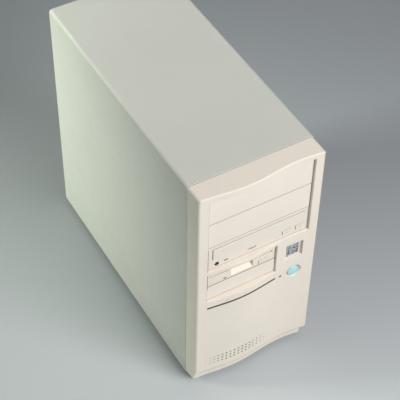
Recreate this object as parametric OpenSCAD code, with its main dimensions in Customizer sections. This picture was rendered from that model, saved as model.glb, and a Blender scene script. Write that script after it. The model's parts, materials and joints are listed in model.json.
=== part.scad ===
// Desktop computer tower: steel hood and chassis, moulded wave front, drives, power supply, main board.
// The front faces -Y and +Z is up. The origin is on the floor under the middle of the case.
// Modules are written in the case frame: y from the seam behind the front, z from the hood's bottom edge.

/* [Case] */
// Outside width of the hood
case_w = 180; // [179:0.5:184]
// Height of the hood
hood_h = 373; // [372:1:380]
// Length of the hood from the seam to the rear
hood_l = 378; // [378:1:390]
// Height of the rubber feet below the hood
foot_h = 8; // [5:1:12]
// Thickness of the sheet steel
sheet = 1; // [0.8:0.1:1]
// Outer bend radius of the hood
bend_r = 4.5; // [4:0.5:8]

/* [Front] */
// Mean depth of the moulded front ahead of the seam
front_d = 30.7; // [30:0.1:32]
// Half the depth of the wave across the front
wave_amp = 3; // [2:0.1:3.4]
// Side to side length of one whole wave
wave_len = 146; // [140:1:155]
// Position of the wave's crest across the width
wave_peak = -23; // [-27:1:-18]
// Wall thickness of the moulding
wall = 2.4; // [2:0.1:2.8]
// Height of the recessed plinth
plinth_h = 24; // [20:1:26]
// Set-back of the plinth behind the face
plinth_in = 9.5; // [7:0.5:11]

/* [Bays] */
// Width of the opening for the three wide bays
bay5_w = 150.6; // [150.2:0.1:151]
// Height of one wide bay
bay5_pitch = 42.4; // [42.3:0.1:42.5]
// Bottom of the wide opening
bay5_z = 234.5; // [234:0.5:235]
// Width of the opening for the two narrow bays
bay3_w = 104; // [103.6:0.1:104.4]
// Bottom of the narrow opening
bay3_z = 175; // [174.5:0.5:175]

/* [Controls] */
// Radius of the power button
button_r = 8.6; // [7:0.1:9]
// Travel of the power button
button_travel = 2.2; // [1.5:0.1:2.2]
// Columns of small air holes low on the face
vent_cols = 17; // [9:1:17]
// Rows of small air holes
vent_rows = 3; // [1:1:4]
// Spacing of the air holes
vent_pitch = 6.1; // [5.5:0.1:6.2]

/* [Hidden] */
$fn = 48;

// Case frame and shared clearances
gap = 0.3;
shaft_gap = 0.05;
far = 60;
half_w = case_w / 2;
screw_head = 2.8;
screw_r = 1.6;
screw_hole_r = 1.8;
seam_y = -(hood_l + screw_head - front_d - wave_amp) / 2;
rear_y = hood_l - 2.2;
inner_half = half_w - 2.8;
pan_z = 1.4;
foot_r = 11;
foot_x = 66;
foot_ys = [28, hood_l - 34];
pan_top = pan_z + sheet;
rail_z = [hood_h - 3.4, hood_h - 2.4];
rail_x = half_w - 11;

// Colours
ivory = [0.85, 0.82, 0.73];
cream = [0.87, 0.84, 0.72];
hood_grey = [0.76, 0.77, 0.73];
zinc = [0.70, 0.71, 0.72];
black = [0.10, 0.10, 0.11];
board_green = [0.10, 0.32, 0.20];
aqua = [0.33, 0.66, 0.66];

// Moulded front
seam_gap = 0.8;
panel_back = sheet - seam_gap;
bezel_half = half_w - 0.7;
bezel_top = hood_h - 0.7;
edge_r = 3.2;
wave_step = 5;
rim = 1.6 * [-1, 1];
rim_back = -7;
clip_x = 3.5;
clip_half = 5;
wave_xs = [for (k = [-13:22]) wave_peak + k * wave_step];
bay_cx = 0.6;
bay5_x = [bay_cx - bay5_w / 2, bay_cx + bay5_w / 2];
bay5_top = bay5_z + 3 * bay5_pitch + 2.3;
bay3_x = [bay5_x[0], bay5_x[0] + bay3_w];
bay3_cx = bay3_x[0] + bay3_w / 2;
bay3_top = bay3_z + 53;
blank_y = -25.4;
blank_d = 13;
blank_seam = 0.45;
blank_rim = 1.5;
badge_at = [56.6, 201.7];
badge_pocket_x = [-13.2, 13.2];
badge_pocket_z = [-13.3, 14.8];
badge_size = [18, 21];
badge_y = -24.2;
button_at = [59, 159.5];
button_hole_r = button_r + 0.35;
dish_r = 11;
dish_y = -25.4;
boss_back = -17;
led_at = [38.1, 160.6];
led_r = 1.5;
led_reach = 0.7;
slot_z = [159.3, 162.9];
groove_d = 12;
vent_at = [-73.7, 49.2];
vent_r = 1.6;
vent_fade = 0.55;
clip_zs = [80, 320];
speaker_at = [-25, 96];

// Drives
cd_z = [bay5_z + 0.4, bay5_z + bay5_pitch - 1.2];
cd_front = -25.1;
cd_back = 172;
cd_half = 73;
cd_face_back = -17;
tray_x = [-65.7, 68.7];
tray_z = [251.4, 269.4];
tray_gap = 0.5 * [-1, 1];
tray_travel = 132;
disc_r = 61;
disc_y = 46;
play_x = [37.7, 50.1];
eject_x = [57.5, 69.9];
key_z = [241.2, 247.2];
key_travel = 1;
wheel_at = [-8, -18];
wheel_r = 7;
wheel_z = [239.9, 242.3];
wheel_slot_z = wheel_z + 0.4 * [-1, 1];
wheel_pin_r = 1.2;
jack_at = [-59.7, 240.7];
floppy_z = [bay3_z + 25.9, bay3_top - 0.6];
floppy_front = -24.9;
floppy_face_back = -17.5;
floppy_back = 128;
floppy_half = 50.8;
disk_slot_z = [214.7, 218.5];
flap_axis = [-20.6, 217.5];
pin_r = 0.6;
floppy_key_x = [4, 16.4];
floppy_key_z = [203.4, 207.8];
recess_x = [-14.6, 17.8];
recess_z = [203.9, 208.7];
recess_d = 5.4;
hdd_z = [146, 171.4];
cage5_y = [panel_back, 120];
cage5_z = [bay5_z - 2.9, bay5_top + 2];
cage3_y = [panel_back, 125];
cage3_z = [hdd_z[0] - 3, bay5_z - 2.9];

// Power supply
psu_half = 75;
psu_z = [281, 367];
psu_y = [rear_y - 140, rear_y];
psu_cz = (psu_z[0] + psu_z[1]) / 2;
psu_fan_x = -24;
psu_fan_half = 40;
psu_fan_hole_r = 37;
inlet_hole_x = [-13.6, 13.6];
inlet_hole_z = [-10, 10];
psu_fan_y = [rear_y - 26, rear_y - 1];
fan_pin_r = 2;
inlet_at = [46, 342];
selector_at = [46, 306];
psu_screw_at = [for (x = [-69.5, 69.5], z = [psu_z[0] + 7, psu_z[1] - 7]) [x, z]];

// Main board
board_x = [76, 77.6];
board_y = [rear_y - 245.8, rear_y - 1.8];
board_z = [16, 260];
stand_off_ys = [board_y[0] + 8, board_y[0] + 122, board_y[1] - 10];
stand_off_zs = [board_z[0] + 10, board_z[1] - 8];
tray_plate_x = [84, 85];
slot_pitch = 20.32;
slot_zs = [for (k = [0:3]) 26 + k * slot_pitch];
bracket_drop = 4.8;
io_x = [33.6, 78];
io_z = [102, 260.8];
cpu_at = [250, 175];
cpu_half = 25;
cpu_fan_x = [30, 40];
zif_at = [74.2, 227];
zif_r = 0.9;
ram_ys = [149, 161];
ram_z = [92, 230];
plate_y = rear_y - 0.9;
rear_vent_z = 130;

// Interval v moved by c
function at(c, v) = [for (e = v) c + e];

// Depth of the face ahead of the seam at x
function wave(x) = front_d + wave_amp * cos(360 * (x - wave_peak) / wave_len);

// Plan outline of the wave front: back is how far it is set behind the face
function wave_outline(back, half, r, rear) = concat(
  [[-half, rear]],
  [for (a = [0:18:90]) [-half + r - r * cos(a), back - wave(-half + r) + r - r * sin(a)]],
  [for (x = wave_xs) if (abs(x) < half - r - 1) [x, back - wave(x)]],
  [for (a = [90:-18:0]) [half - r + r * cos(a), back - wave(half - r) + r - r * sin(a)]],
  [[half, rear]]);

module at_case() translate([0, seam_y, foot_h]) children();

// Box given by its limits on each axis
module block(x, y, z) translate([x[0], y[0], z[0]]) cube([x[1] - x[0], y[1] - y[0], z[1] - z[0]]);

module rod_x(r, x, y, z) translate([x[0], y, z]) rotate([0, 90, 0]) cylinder(r = r, h = x[1] - x[0]);

module rod_y(r, y, x, z) translate([x, y[1], z]) rotate([90, 0, 0]) cylinder(r = r, h = y[1] - y[0]);

module rod_z(r, z, x, y) translate([x, y, z[0]]) cylinder(r = r, h = z[1] - z[0]);

// Block along Y with its two top edges rounded, like the hood's section
module arch(half, r, y, z) {
  block([-half + r, half - r], y, z);
  block([-half, half], y, [z[0], z[1] - r]);
  for (s = [-1, 1]) rod_y(r, y, s * (half - r), z[1] - r);
}

// Prism along X from an outline in y and z
module side_prism(x, outline)
  translate([x[0], 0, 0]) rotate([90, 0, 90]) linear_extrude(x[1] - x[0]) polygon(outline);

// Prism along Y from an outline in x and z
module front_prism(y, outline)
  translate([0, y[1], 0]) rotate([90, 0, 0]) linear_extrude(y[1] - y[0]) polygon(outline);

module wave_prism(back, half, r, rear, z)
  translate([0, 0, z[0]]) linear_extrude(z[1] - z[0]) polygon(wave_outline(back, half, r, rear));

module face_solid() intersection() {
  wave_prism(0, bezel_half, edge_r, -seam_gap, [plinth_h, bezel_top + 1]);
  arch(bezel_half, bend_r, [-far, 0], [plinth_h - 1, bezel_top]);
}

module face_cavity() intersection() {
  wave_prism(wall, bezel_half - wall, edge_r - 2, 1, [plinth_h + wall, bezel_top]);
  arch(bezel_half - wall, bend_r - wall, [-far, 2], [plinth_h, bezel_top - wall]);
}

module plinth_wall() difference() {
  wave_prism(plinth_in, bezel_half - 1.8, 4, -seam_gap, [0.4, plinth_h + wall]);
  wave_prism(plinth_in + wall, bezel_half - 1.8 - wall, 1.6, 1, [-1, plinth_h + wall + 1]);
}

// Side cheeks that run down behind the plinth ends
module cheeks() for (s = [-1, 1]) {
  x = s < 0 ? [-bezel_half, -bezel_half + wall] : [bezel_half - wall, bezel_half];
  front = -wave(s * bezel_half) + edge_r;
  side_prism(x, [[-seam_gap, 1.5], [-16, 6], [front + 4, 13], [front, plinth_h - 4], [front, plinth_h + 2],
    [-seam_gap, plinth_h + 2]]);
}

module vent_holes() for (i = [0:vent_cols - 1], j = [0:vent_rows - 1]) {
  fade = 1 - vent_fade * pow(abs(2 * i / (vent_cols - 1) - 1), 3);
  rod_y(vent_r * fade, [-far, -front_d + groove_d], vent_at[0] + i * vent_pitch, vent_at[1] - j * vent_pitch);
}

module oval(at, y, r, reach) {
  for (s = [-1, 1]) rod_y(r, y, at[0] + s * reach, at[1]);
  block([at[0] - reach, at[0] + reach], y, [at[1] - r, at[1] + r]);
}

module front_bezel() color(ivory) at_case() difference() {
  union() {
    difference() {
      face_solid();
      face_cavity();
      wave_prism(plinth_in + wall, bezel_half - 1.8 - wall, 1.6, 1, [plinth_h - 1, plinth_h + wall + 1]);
    }
    plinth_wall();
    cheeks();
    intersection() {
      face_solid();
      union() {
        block(bay5_x + rim, [-far, rim_back], [bay5_z, bay5_top] + rim);
        block(bay3_x + rim, [-far, rim_back], [bay3_z, bay3_top] + rim);
        block(at(badge_at[0], badge_pocket_x + rim), [-far, badge_y + wall],
          at(badge_at[1], badge_pocket_z + rim));
        rod_y(dish_r + wall, [-far, boss_back], button_at[0], button_at[1]);
      }
    }
    for (s = [-1, 1], z = clip_zs) {
      block(at(s * (bezel_half - clip_x), [-1.1, 1.1]), [-6, 4], at(z, clip_half * [-1, 1]));
    }
  }
  block(bay5_x, [-far, 1], [bay5_z, bay5_top]);
  block(bay3_x, [-far, 1], [bay3_z, bay3_top]);
  block(at(badge_at[0], badge_pocket_x), [-far, badge_y], at(badge_at[1], badge_pocket_z));
  rod_y(button_hole_r, [-far, 0], button_at[0], button_at[1]);
  translate([button_at[0], dish_y, button_at[1]]) rotate([90, 0, 0])
    cylinder(r1 = button_hole_r, r2 = dish_r + 0.6, h = 3.4);
  oval(led_at, [-far, 0], led_r, led_reach);
  block(at(0.6, bay3_x), [-far, -front_d + groove_d], slot_z);
  vent_holes();
}

// Snap-in cover for an unused bay
module bay_blank(x, z) {
  inset = blank_seam * [1, -1];
  difference() {
    block(x + inset, [blank_y, blank_y + blank_d], z);
    block(x + inset + blank_rim * [1, -1], [blank_y + wall, blank_y + blank_d + 1], z + blank_rim * [1, -1]);
  }
  for (k = [0, 1]) {
    block(at(x[k], blank_seam * [-k, 1 - k]), [blank_y + blank_d - 3, blank_y + blank_d],
      at((z[0] + z[1]) / 2, [-5, 5]));
  }
}

module blank_525_upper() color(ivory) at_case()
  bay_blank(bay5_x, [bay5_z + 2 * bay5_pitch - 0.4, bay5_top - 0.7]);

module blank_525_lower() color(ivory) at_case()
  bay_blank(bay5_x, [bay5_z + bay5_pitch - 0.6, bay5_z + 2 * bay5_pitch - 1.1]);

module blank_35() color(ivory) at_case() bay_blank(bay3_x, [bay3_z + 0.5, bay3_z + 25.3]);

module power_button() color(aqua) at_case() {
  dome = 1.6;
  rim_y = -wave(button_at[0]) + 0.6;
  ball_r = (button_r * button_r + dome * dome) / (2 * dome);
  intersection() {
    rod_y(button_r, [rim_y - dome - 1, boss_back + 1], button_at[0], button_at[1]);
    translate([button_at[0], rim_y - dome + ball_r, button_at[1]]) sphere(r = ball_r);
  }
  rod_y(dish_r, [boss_back + gap, boss_back + 1.5], button_at[0], button_at[1]);
  rod_y(3, [boss_back + 1.5, boss_back + 3], button_at[0], button_at[1]);
}

module power_switch() color(black) at_case() {
  block(at(button_at[0], [-6.5, 6.5]), [-9, -seam_gap], at(button_at[1], [-6.5, 6.5]));
  rod_y(2, [boss_back + 3 + button_travel + 0.2, -9], button_at[0], button_at[1]);
}

module power_led() color([0.62, 0.28, 0.22]) at_case()
  oval(led_at, [-wave(led_at[0]) - 0.4, -20], led_r, led_reach);

module case_badge() color([0.66, 0.65, 0.72]) at_case() difference() {
  block(at(badge_at[0], [-1, 1] * badge_size[0] / 2), [badge_y - 1.2, badge_y],
    at(badge_at[1], [-1, 1] * badge_size[1] / 2));
  block(at(badge_at[0], [-1, 1] * (badge_size[0] / 2 - 1.2)), [badge_y - 2, badge_y - 0.9],
    at(badge_at[1], [-1, 1] * (badge_size[1] / 2 - 1.2)));
}

hood_screw_at = [for (s = [-1, 1], z = [50, 190, 330]) [s * (half_w - 6.5), z]];

module cover_hood() color(hood_grey) at_case() difference() {
  union() {
    difference() {
      arch(half_w, bend_r, [0, hood_l], [0, hood_h]);
      arch(half_w - sheet, bend_r - sheet, [-1, hood_l + 1], [-1, hood_h - sheet]);
    }
    difference() {
      arch(half_w - sheet / 2, bend_r - sheet / 2, [0, 7], [0, hood_h - sheet / 2]);
      arch(half_w - 2 * sheet, bend_r - 2 * sheet, [-1, 8], [-1, hood_h - 2 * sheet]);
    }
    difference() {
      arch(half_w - sheet / 2, bend_r - sheet / 2, [hood_l - sheet, hood_l], [0, hood_h - sheet / 2]);
      arch(half_w - 11, 2, [hood_l - 3, hood_l + 1], [-1, hood_h - 7]);
    }
    for (s = [-1, 1]) {
      x = s < 0 ? [-half_w + 0.5, -half_w + 6] : [half_w - 6, half_w - 0.5];
      block(x, [0, hood_l], [0, sheet]);
    }
  }
  for (p = hood_screw_at) rod_y(screw_hole_r, [hood_l - 4, hood_l + 2], p[0], p[1]);
}

// Hexagon-head case screw with its head on the plane y
module case_screw(y, at) {
  washer = 0.8;
  rod_y(4.6, [y, y + washer], at[0], at[1]);
  translate([at[0], y + washer, at[1]]) rotate([-90, 0, 0])
    cylinder(r = 3.6, h = screw_head - washer, $fn = 6);
  rod_y(screw_r, [y - 6, y], at[0], at[1]);
}

module hood_screws() color(zinc) at_case() for (p = hood_screw_at) case_screw(hood_l, p);

module feet() color(black) at_case() for (s = [-1, 1], y = foot_ys) {
  rod_z(foot_r, [-foot_h, pan_z], s * foot_x, y);
}

module slot_openings() for (z = slot_zs) {
  block([-38, 73], at(rear_y, [-1, 3]), at(z - bracket_drop, [-6.4, 6.4]));
}

// Floor plate of the case between the two wall plates, with a folded flange on each side
module base_pan() color(zinc) at_case() {
  block([-inner_half, inner_half], [-seam_gap, rear_y + sheet], [pan_z, pan_top]);
  for (s = [-1, 1]) {
    block(at(s * (inner_half - sheet / 2), [-1, 1] * sheet / 2), [panel_back, rear_y],
      [pan_top - 0.1, pan_z + 13]);
  }
}

// Wall plate along X standing on the base pan, its top corners following the hood
module wall_plate(y) arch(inner_half, bend_r - 2.8, y, [pan_top, rail_z[1]]);

module front_panel() color(zinc) at_case() difference() {
  wall_plate([-seam_gap, panel_back]);
  block(at(bay_cx, (cd_half + gap) * [-1, 1]), [-far, 4], [bay5_z - 1, bay5_top + 1]);
  block(at(bay3_cx, (floppy_half + gap) * [-1, 1]), [-far, 4], [bay3_z - 1, bay3_top + gap]);
  block(at(vent_at[0], [1.7, 95.7]), [-far, 4], at(vent_at[1], [-16.2, 6.8]));
  block(at(led_at[0], [-6, 6]), [-far, 4], at(led_at[1], [-5, 5]));
  for (s = [-1, 1], z = clip_zs) {
    block(at(s * (bezel_half - clip_x), [-1.6, 1.6]), [-far, 4], at(z, (clip_half + 1) * [-1, 1]));
  }
  for (a = [0:45:315]) rod_y(3, [-far, 4], speaker_at[0] + 14 * cos(a), speaker_at[1] + 14 * sin(a));
}

module rear_panel() color(zinc) at_case() difference() {
  union() {
    wall_plate([rear_y, rear_y + sheet]);
    block([-43, -42], at(rear_y, [-12, 0.5]), [slot_zs[0] - 16, slot_zs[3] + 8]);
  }
  block([-64, 64], at(rear_y, [-2, 3]), psu_z + 4.5 * [1, -1]);
  block(io_x, at(rear_y, [-2, 3]), io_z);
  slot_openings();
  for (k = [0:9]) block([-72, -14], at(rear_y, [-2, 3]), at(rear_vent_z + k * 12, [0, 4]));
  for (p = hood_screw_at) rod_y(screw_hole_r, at(rear_y, [-2, 3]), p[0], p[1]);
  for (p = psu_screw_at) rod_y(screw_hole_r, at(rear_y, [-2, 3]), p[0], p[1]);
}

// Two rails under the hood's bends and a cross bar between them
module top_rails() color(zinc) at_case() {
  rail = 10;
  for (s = [-1, 1]) block(at(s * rail_x, rail * [-0.5, 0.5]), [panel_back, rear_y], rail_z);
  block([-rail_x, rail_x], [186, 206], rail_z);
}

// Two punched side plates that hold a stack of drives
module cage(cx, half, y, z) {
  for (s = [-1, 1]) {
    difference() {
      block(at(cx + s * (half + sheet / 2), [-sheet / 2, sheet / 2]), y, z);
      for (k = [0:2]) rod_x(3, at(cx + s * (half + sheet / 2), [-3, 3]), y[0] + 22 + k * 38, z[0] + 18);
    }
  }
}

// Plate that joins the two sides of a cage, its underside at z
module shelf(cx, half, y, z) block(at(cx, (half + sheet) * [-1, 1]), y, at(z, [0, 1]));

module drive_cage_525() color(zinc) at_case() {
  cage(bay_cx, cd_half, cage5_y, cage5_z);
  shelf(bay_cx, cd_half, cage5_y, cage5_z[0]);
  shelf(bay_cx, cd_half, cage5_y, cage5_z[1]);
}

module drive_cage_35() color(zinc) at_case() {
  cage(bay3_cx, floppy_half, cage3_y, cage3_z);
  shelf(bay3_cx, floppy_half, cage3_y, cage3_z[0]);
}

// Tray plate with nine stand-offs pressed into it
module motherboard_tray() color(zinc) at_case() {
  block(tray_plate_x, [112, rear_y - 6], [pan_top, 275]);
  for (y = stand_off_ys, z = [stand_off_zs[0], 138, stand_off_zs[1]]) {
    rod_x(2.6, [board_x[1], tray_plate_x[0] + 0.5], y, z);
  }
}

module psu_housing() color(zinc) at_case() difference() {
  inward = sheet * [1, -1];
  block(psu_half * [-1, 1], psu_y, psu_z);
  block(psu_half * [-1, 1] + inward, psu_y + inward, psu_z + inward);
  rod_y(psu_fan_hole_r, at(rear_y, [-5, 5]), psu_fan_x, psu_cz);
  block(at(inlet_at[0], inlet_hole_x), at(rear_y, [-5, 5]), at(inlet_at[1], inlet_hole_z));
  block(at(selector_at[0], [-11, 11]), at(rear_y, [-5, 5]), at(selector_at[1], [-6, 6]));
  for (p = psu_screw_at) rod_y(screw_hole_r, at(rear_y, [-5, 5]), p[0], p[1]);
  for (k = [0:8]) block(at(-60 + k * 14, [0, 6]), [psu_y[0] - 2, psu_y[0] + 3], at(psu_cz, [-28, 28]));
}

module psu_circuit_board() color([0.55, 0.42, 0.22]) at_case() {
  z = psu_z[0] + sheet;
  block([-69, 69], psu_y + [6, -32], [z + 5, z + 6.6]);
  for (x = [-62, 62], y = [psu_y[0] + 12, psu_y[1] - 38]) rod_z(3, [z, z + 5.2], x, y);
  block([-16, 20], at(psu_y[0], [30, 64]), [z + 6.4, z + 38]);
  block([-52, -48], at(psu_y[0], [14, 94]), [z + 6.4, z + 56]);
  block([28, 32], at(psu_y[0], [14, 94]), [z + 6.4, z + 56]);
  for (k = [0:1]) rod_z(12, [z + 6.4, z + 44], 50, psu_y[0] + 28 + k * 32);
  for (k = [0:3]) rod_z(6, [z + 6.4, z + 30], -34, psu_y[0] + 22 + k * 18);
}

// Square fan body along Y with three struts, a motor disc and a shaft
module fan_body(half, bore, y, strut_t) {
  difference() {
    block([-half, half], y, [-half, half]);
    rod_y(bore, y + [-1, 1], 0, 0);
    for (a = [-1, 1], b = [-1, 1]) rod_y(2.1, y + [-1, 1], a * (half - 4.2), b * (half - 4.2));
  }
  for (a = [90, 210, 330]) rotate([0, a, 0]) block([0, bore + 1], [y[0], y[0] + strut_t], [-1.6, 1.6]);
  rod_y(bore * 0.4, [y[0], y[0] + strut_t], 0, 0);
  rod_y(fan_pin_r, [y[0] + strut_t, y[1] - 3], 0, 0);
}

// Hub and seven pitched blades along Y, bored for the shaft
module fan_rotor(tip, y, hub) difference() {
  union() {
    rod_y(hub, y, 0, 0);
    for (k = [0:6]) rotate([0, k * 360 / 7, 0]) translate([0, (y[0] + y[1]) / 2, 0]) rotate([38, 0, 0])
      block([hub - 1, tip], [-0.7, 0.7], (y[1] - y[0]) * [-0.5, 0.5]);
  }
  rod_y(fan_pin_r + shaft_gap, y + [-5, 5], 0, 0);
}

module psu_fan_frame() color(black) at_case() translate([psu_fan_x, 0, psu_cz])
  fan_body(psu_fan_half, 38, psu_fan_y, 3);

module psu_fan_rotor() color(black) at_case() translate([psu_fan_x, 0, psu_cz])
  fan_rotor(35.5, psu_fan_y + [4, -5], 14);

module psu_fan_grille() color(zinc) at_case() translate([psu_fan_x, 0, psu_cz]) {
  for (r = [11, 19, 27, 35]) difference() {
    rod_y(r + 0.8, at(rear_y, [0.5, 1.8]), 0, 0);
    rod_y(r - 0.8, at(rear_y, [0, 3]), 0, 0);
  }
  for (a = [45:90:315]) rotate([0, a, 0]) {
    block([10.6, 38.5], at(rear_y, [0.3, 1.5]), [-0.8, 0.8]);
    block([37, 40], at(rear_y, [0, 1.5]), [-2, 2]);
  }
}

module psu_inlet() color(black) at_case() {
  x = inlet_at[0];
  z = inlet_at[1];
  floor_y = rear_y - 16;
  plug = [12.2, 8];
  bevel = 3.6;
  difference() {
    union() {
      block(at(x, inlet_hole_x - 0.1 * [-1, 1]), at(rear_y, [-19, 0.2]), at(z, inlet_hole_z - 0.2 * [-1, 1]));
      block(at(x, inlet_hole_x + 1.4 * [-1, 1]), at(rear_y, [0, 1.6]), at(z, inlet_hole_z + 1.3 * [-1, 1]));
    }
    front_prism([floor_y, rear_y + 5], [[x - plug.x, z - plug.y], [x + plug.x, z - plug.y],
      [x + plug.x, z + plug.y - bevel], [x + plug.x - bevel, z + plug.y], [x - plug.x + bevel, z + plug.y],
      [x - plug.x, z + plug.y - bevel]]);
  }
  for (p = [[-7, -1.6], [0, 2.4], [7, -1.6]]) {
    block(at(x + p[0], [-1, 1]), [floor_y - 0.5, rear_y - 1], at(z + p[1], [-2, 2]));
  }
}

module psu_selector() color(black) at_case() difference() {
  block(at(selector_at[0], [-10.8, 10.8]), at(rear_y, [-12, 0.8]), at(selector_at[1], [-5.8, 5.8]));
  block(at(selector_at[0], [-7.5, 7.5]), at(rear_y, [-3, 2]), at(selector_at[1], [-3, 3]));
}

module psu_selector_slider() color([0.72, 0.12, 0.10]) at_case() difference() {
  block(at(selector_at[0], [-7.2, 0.2]), at(rear_y, [-2.8, 0.3]), at(selector_at[1], [-2.7, 2.7]));
  block(at(selector_at[0], [-6, -1]), at(rear_y, [-0.5, 1]), at(selector_at[1], [-0.5, 0.5]));
}

module psu_screws() color(zinc) at_case() for (p = psu_screw_at) case_screw(rear_y + sheet, p);

module motherboard() color(board_green) at_case() difference() {
  union() {
    block(board_x, board_y, board_z);
    block([68, 76.5], at(board_y[0], [42, 48]), [170, 222]);
    for (k = [0:4]) rod_x(4, [64, 76.5], board_y[0] + 80, 152 + k * 12);
    rod_x(10, [72, 76.5], board_y[1] - 60, 116);
    block([73.6, 76.5], [180, 207], [118, 145]);
    block([73.8, 76.5], [196, 220], [60, 84]);
    block([73.8, 76.5], [284, 298], [216, 244]);
  }
  for (y = stand_off_ys, z = stand_off_zs) {
    rod_x(screw_hole_r, [board_x[0] - 1, board_x[1] + 1], y, z);
  }
}

// Edge connector with a groove, its mouth toward -X
module edge_slot(x, y, z, half) difference() {
  block([x, board_x[0]], y, at(z, [-half, half]));
  block([x - 1, board_x[0] - 2.5], y + [2, -2], at(z, [-1, 1]));
}

module expansion_slots() color([0.90, 0.89, 0.84]) at_case() {
  for (k = [0:2]) edge_slot(65, at(rear_y, [-125, -40]), slot_zs[k], 4);
  edge_slot(65, at(rear_y, [-130, -56]), slot_zs[3], 3.6);
}

module memory_slots() color(black) at_case() for (y = ram_ys) {
  difference() {
    block([68, board_x[0]], at(y, [-3.2, 3.2]), ram_z);
    block([67, 73], at(y, [-0.9, 0.9]), ram_z + [2, -2]);
  }
}

module memory_module() color(board_green) at_case() {
  y = ram_ys[0];
  block([39.6, 71], at(y, [-0.65, 0.65]), ram_z + [2.4, -2.4]);
  for (k = [0:7]) block([46, 64], at(y, [0.5, 1.8]), at(97 + k * 16.4, [0, 11]));
}

module cpu_socket() color([0.88, 0.87, 0.82]) at_case() difference() {
  block([72, board_x[0]], at(cpu_at[0], [-cpu_half, cpu_half]), at(cpu_at[1], [-cpu_half, cpu_half]));
  rod_z(zif_r + shaft_gap, [197, 201], zif_at[0], zif_at[1]);
}

module zif_lever() color(zinc) at_case() {
  rod_z(zif_r, [197.5, 202.8], zif_at[0], zif_at[1]);
  rod_y(0.75, [zif_at[1] - 0.4, zif_at[1] + 50], zif_at[0], 202);
  rod_z(0.65, [201.6, 207], zif_at[0], zif_at[1] + 49);
}

module cpu_heatsink() color([0.68, 0.69, 0.71]) at_case() {
  block([65, 72], at(cpu_at[0], [-24.5, 24.5]), at(cpu_at[1], [-24.5, 24.5]));
  for (k = [-5:5]) {
    block([cpu_fan_x[1], 65.5], at(cpu_at[0] + k * 4.7, [-0.6, 0.6]), at(cpu_at[1], [-24.5, 24.5]));
  }
}

module cpu_fan_frame() color(black) at_case() translate([0, cpu_at[0], cpu_at[1]]) rotate([0, 0, 90])
  fan_body(24.5, 23, -[cpu_fan_x[1], cpu_fan_x[0]], 1.6);

module cpu_fan_rotor() color(black) at_case() translate([0, cpu_at[0], cpu_at[1]]) rotate([0, 0, 90])
  fan_rotor(21.5, -[cpu_fan_x[1], cpu_fan_x[0]] + [2.2, -1], 9);

module io_shield() color([0.78, 0.78, 0.79]) at_case() difference() {
  block(io_x + [0.2, -0.2], at(rear_y, [-0.2, 0.4]), io_z + [0.2, -0.2]);
  block([49, 76.4], at(rear_y, [-3, 3]), [242.5, 257.5]);
  block([59.5, 76.4], at(rear_y, [-3, 3]), [221.5, 237.5]);
  block([38.2, 52], at(rear_y, [-3, 3]), [162.5, 217.5]);
  for (z = [172, 205]) block([59.4, 72.6], at(rear_y, [-3, 3]), at(z, [-15.8, 15.8]));
}

din_xs = [56.2, 69.4];
din_r = 4.75;

module mini_din_ports() color([0.30, 0.22, 0.42]) at_case() difference() {
  block([49.4, board_x[0]], at(rear_y, [-14, 1.4]), [243, 257]);
  for (x = din_xs) rod_y(din_r, at(rear_y, [-8, 2]), x, 250);
}

module usb_ports() color([0.74, 0.75, 0.76]) at_case() difference() {
  block([60, board_x[0]], at(rear_y, [-16, 1.8]), [222, 237]);
  for (x = [64, 71.6]) {
    difference() {
      block(at(x, [-2.5, 2.5]), at(rear_y, [-12, 3]), at(229.5, [-6, 6]));
      block(at(x, [-0.6, 1.2]), at(rear_y, [-13, 1]), at(229.5, [-5, 5]));
    }
  }
}

function d_outline(cx, cz, half_long, half_wide) = [[cx - half_wide, cz - half_long],
  [cx + half_wide, cz - half_long + 1.6], [cx + half_wide, cz + half_long - 1.6],
  [cx - half_wide, cz + half_long]];

// Trapezoid shell with a jack screw at each end, along Z
module d_port(cx, cz, half_long, body, screw) {
  block(at(cx, [-6.2, 6.2]), body, at(cz, [-screw - 3.2, screw + 3.2]));
  difference() {
    front_prism([body[1] - 0.5, rear_y + 4.6], d_outline(cx, cz, half_long, 4.2));
    front_prism([body[1] + 0.8, rear_y + 6], d_outline(cx, cz, half_long - 1, 3.2));
  }
  for (s = [-1, 1]) {
    translate([cx, body[1] - 0.5, cz + s * screw]) rotate([-90, 0, 0]) cylinder(r = 2.6, h = 4.8, $fn = 6);
  }
}

module serial_ports() color([0.74, 0.75, 0.76]) at_case() for (z = [172, 205]) {
  d_port(66, z, 8.6, at(rear_y, [-13, 0.3]), 12.3);
  block([66, board_x[0]], at(rear_y, [-13, -2]), at(z, [-15, 15]));
}

module parallel_port() color([0.60, 0.22, 0.34]) at_case() {
  d_port(45, 190, 19.6, at(rear_y, [-13, 0.3]), 23.6);
  block([39, board_x[0]], at(rear_y, [-18, -13.2]), [165, 215]);
  block([39, 51], at(rear_y, [-14, -12]), [165, 215]);
}

// Card edge on the slot at height z: component side faces down
module card(z, y0, reach, tongue) {
  block([reach, 64.6], [y0, rear_y - 4], at(z, [-0.8, 0.8]));
  block([64, 73], at(rear_y, tongue), at(z, [-0.8, 0.8]));
}

module graphics_card() color([0.10, 0.28, 0.34]) at_case() {
  z = slot_zs[3];
  card(z, 208, -22, [-126, -60]);
  block([10, 48], at(rear_y, [-110, -72]), at(z, [-9, -0.6]));
  for (k = [0:3]) block([-14, 0], at(rear_y, [-150, -136] + [1, 1] * k * 22), at(z, [-2.4, -0.6]));
}

module graphics_bracket() color(zinc) at_case() {
  z = slot_zs[3] - bracket_drop;
  bracket(z);
  translate([0, 0, z]) rotate([0, 90, 0]) translate([0, 0, 18]) video_port();
}

// Three-row video connector lying along the bracket
module video_port() {
  block([-3.9, 5.8], at(rear_y, [-13, -0.7]), [-13, 13]);
  block([-4.1, 4.1], at(rear_y, [-0.9, 4]), [-8.4, 8.4]);
}

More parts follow.
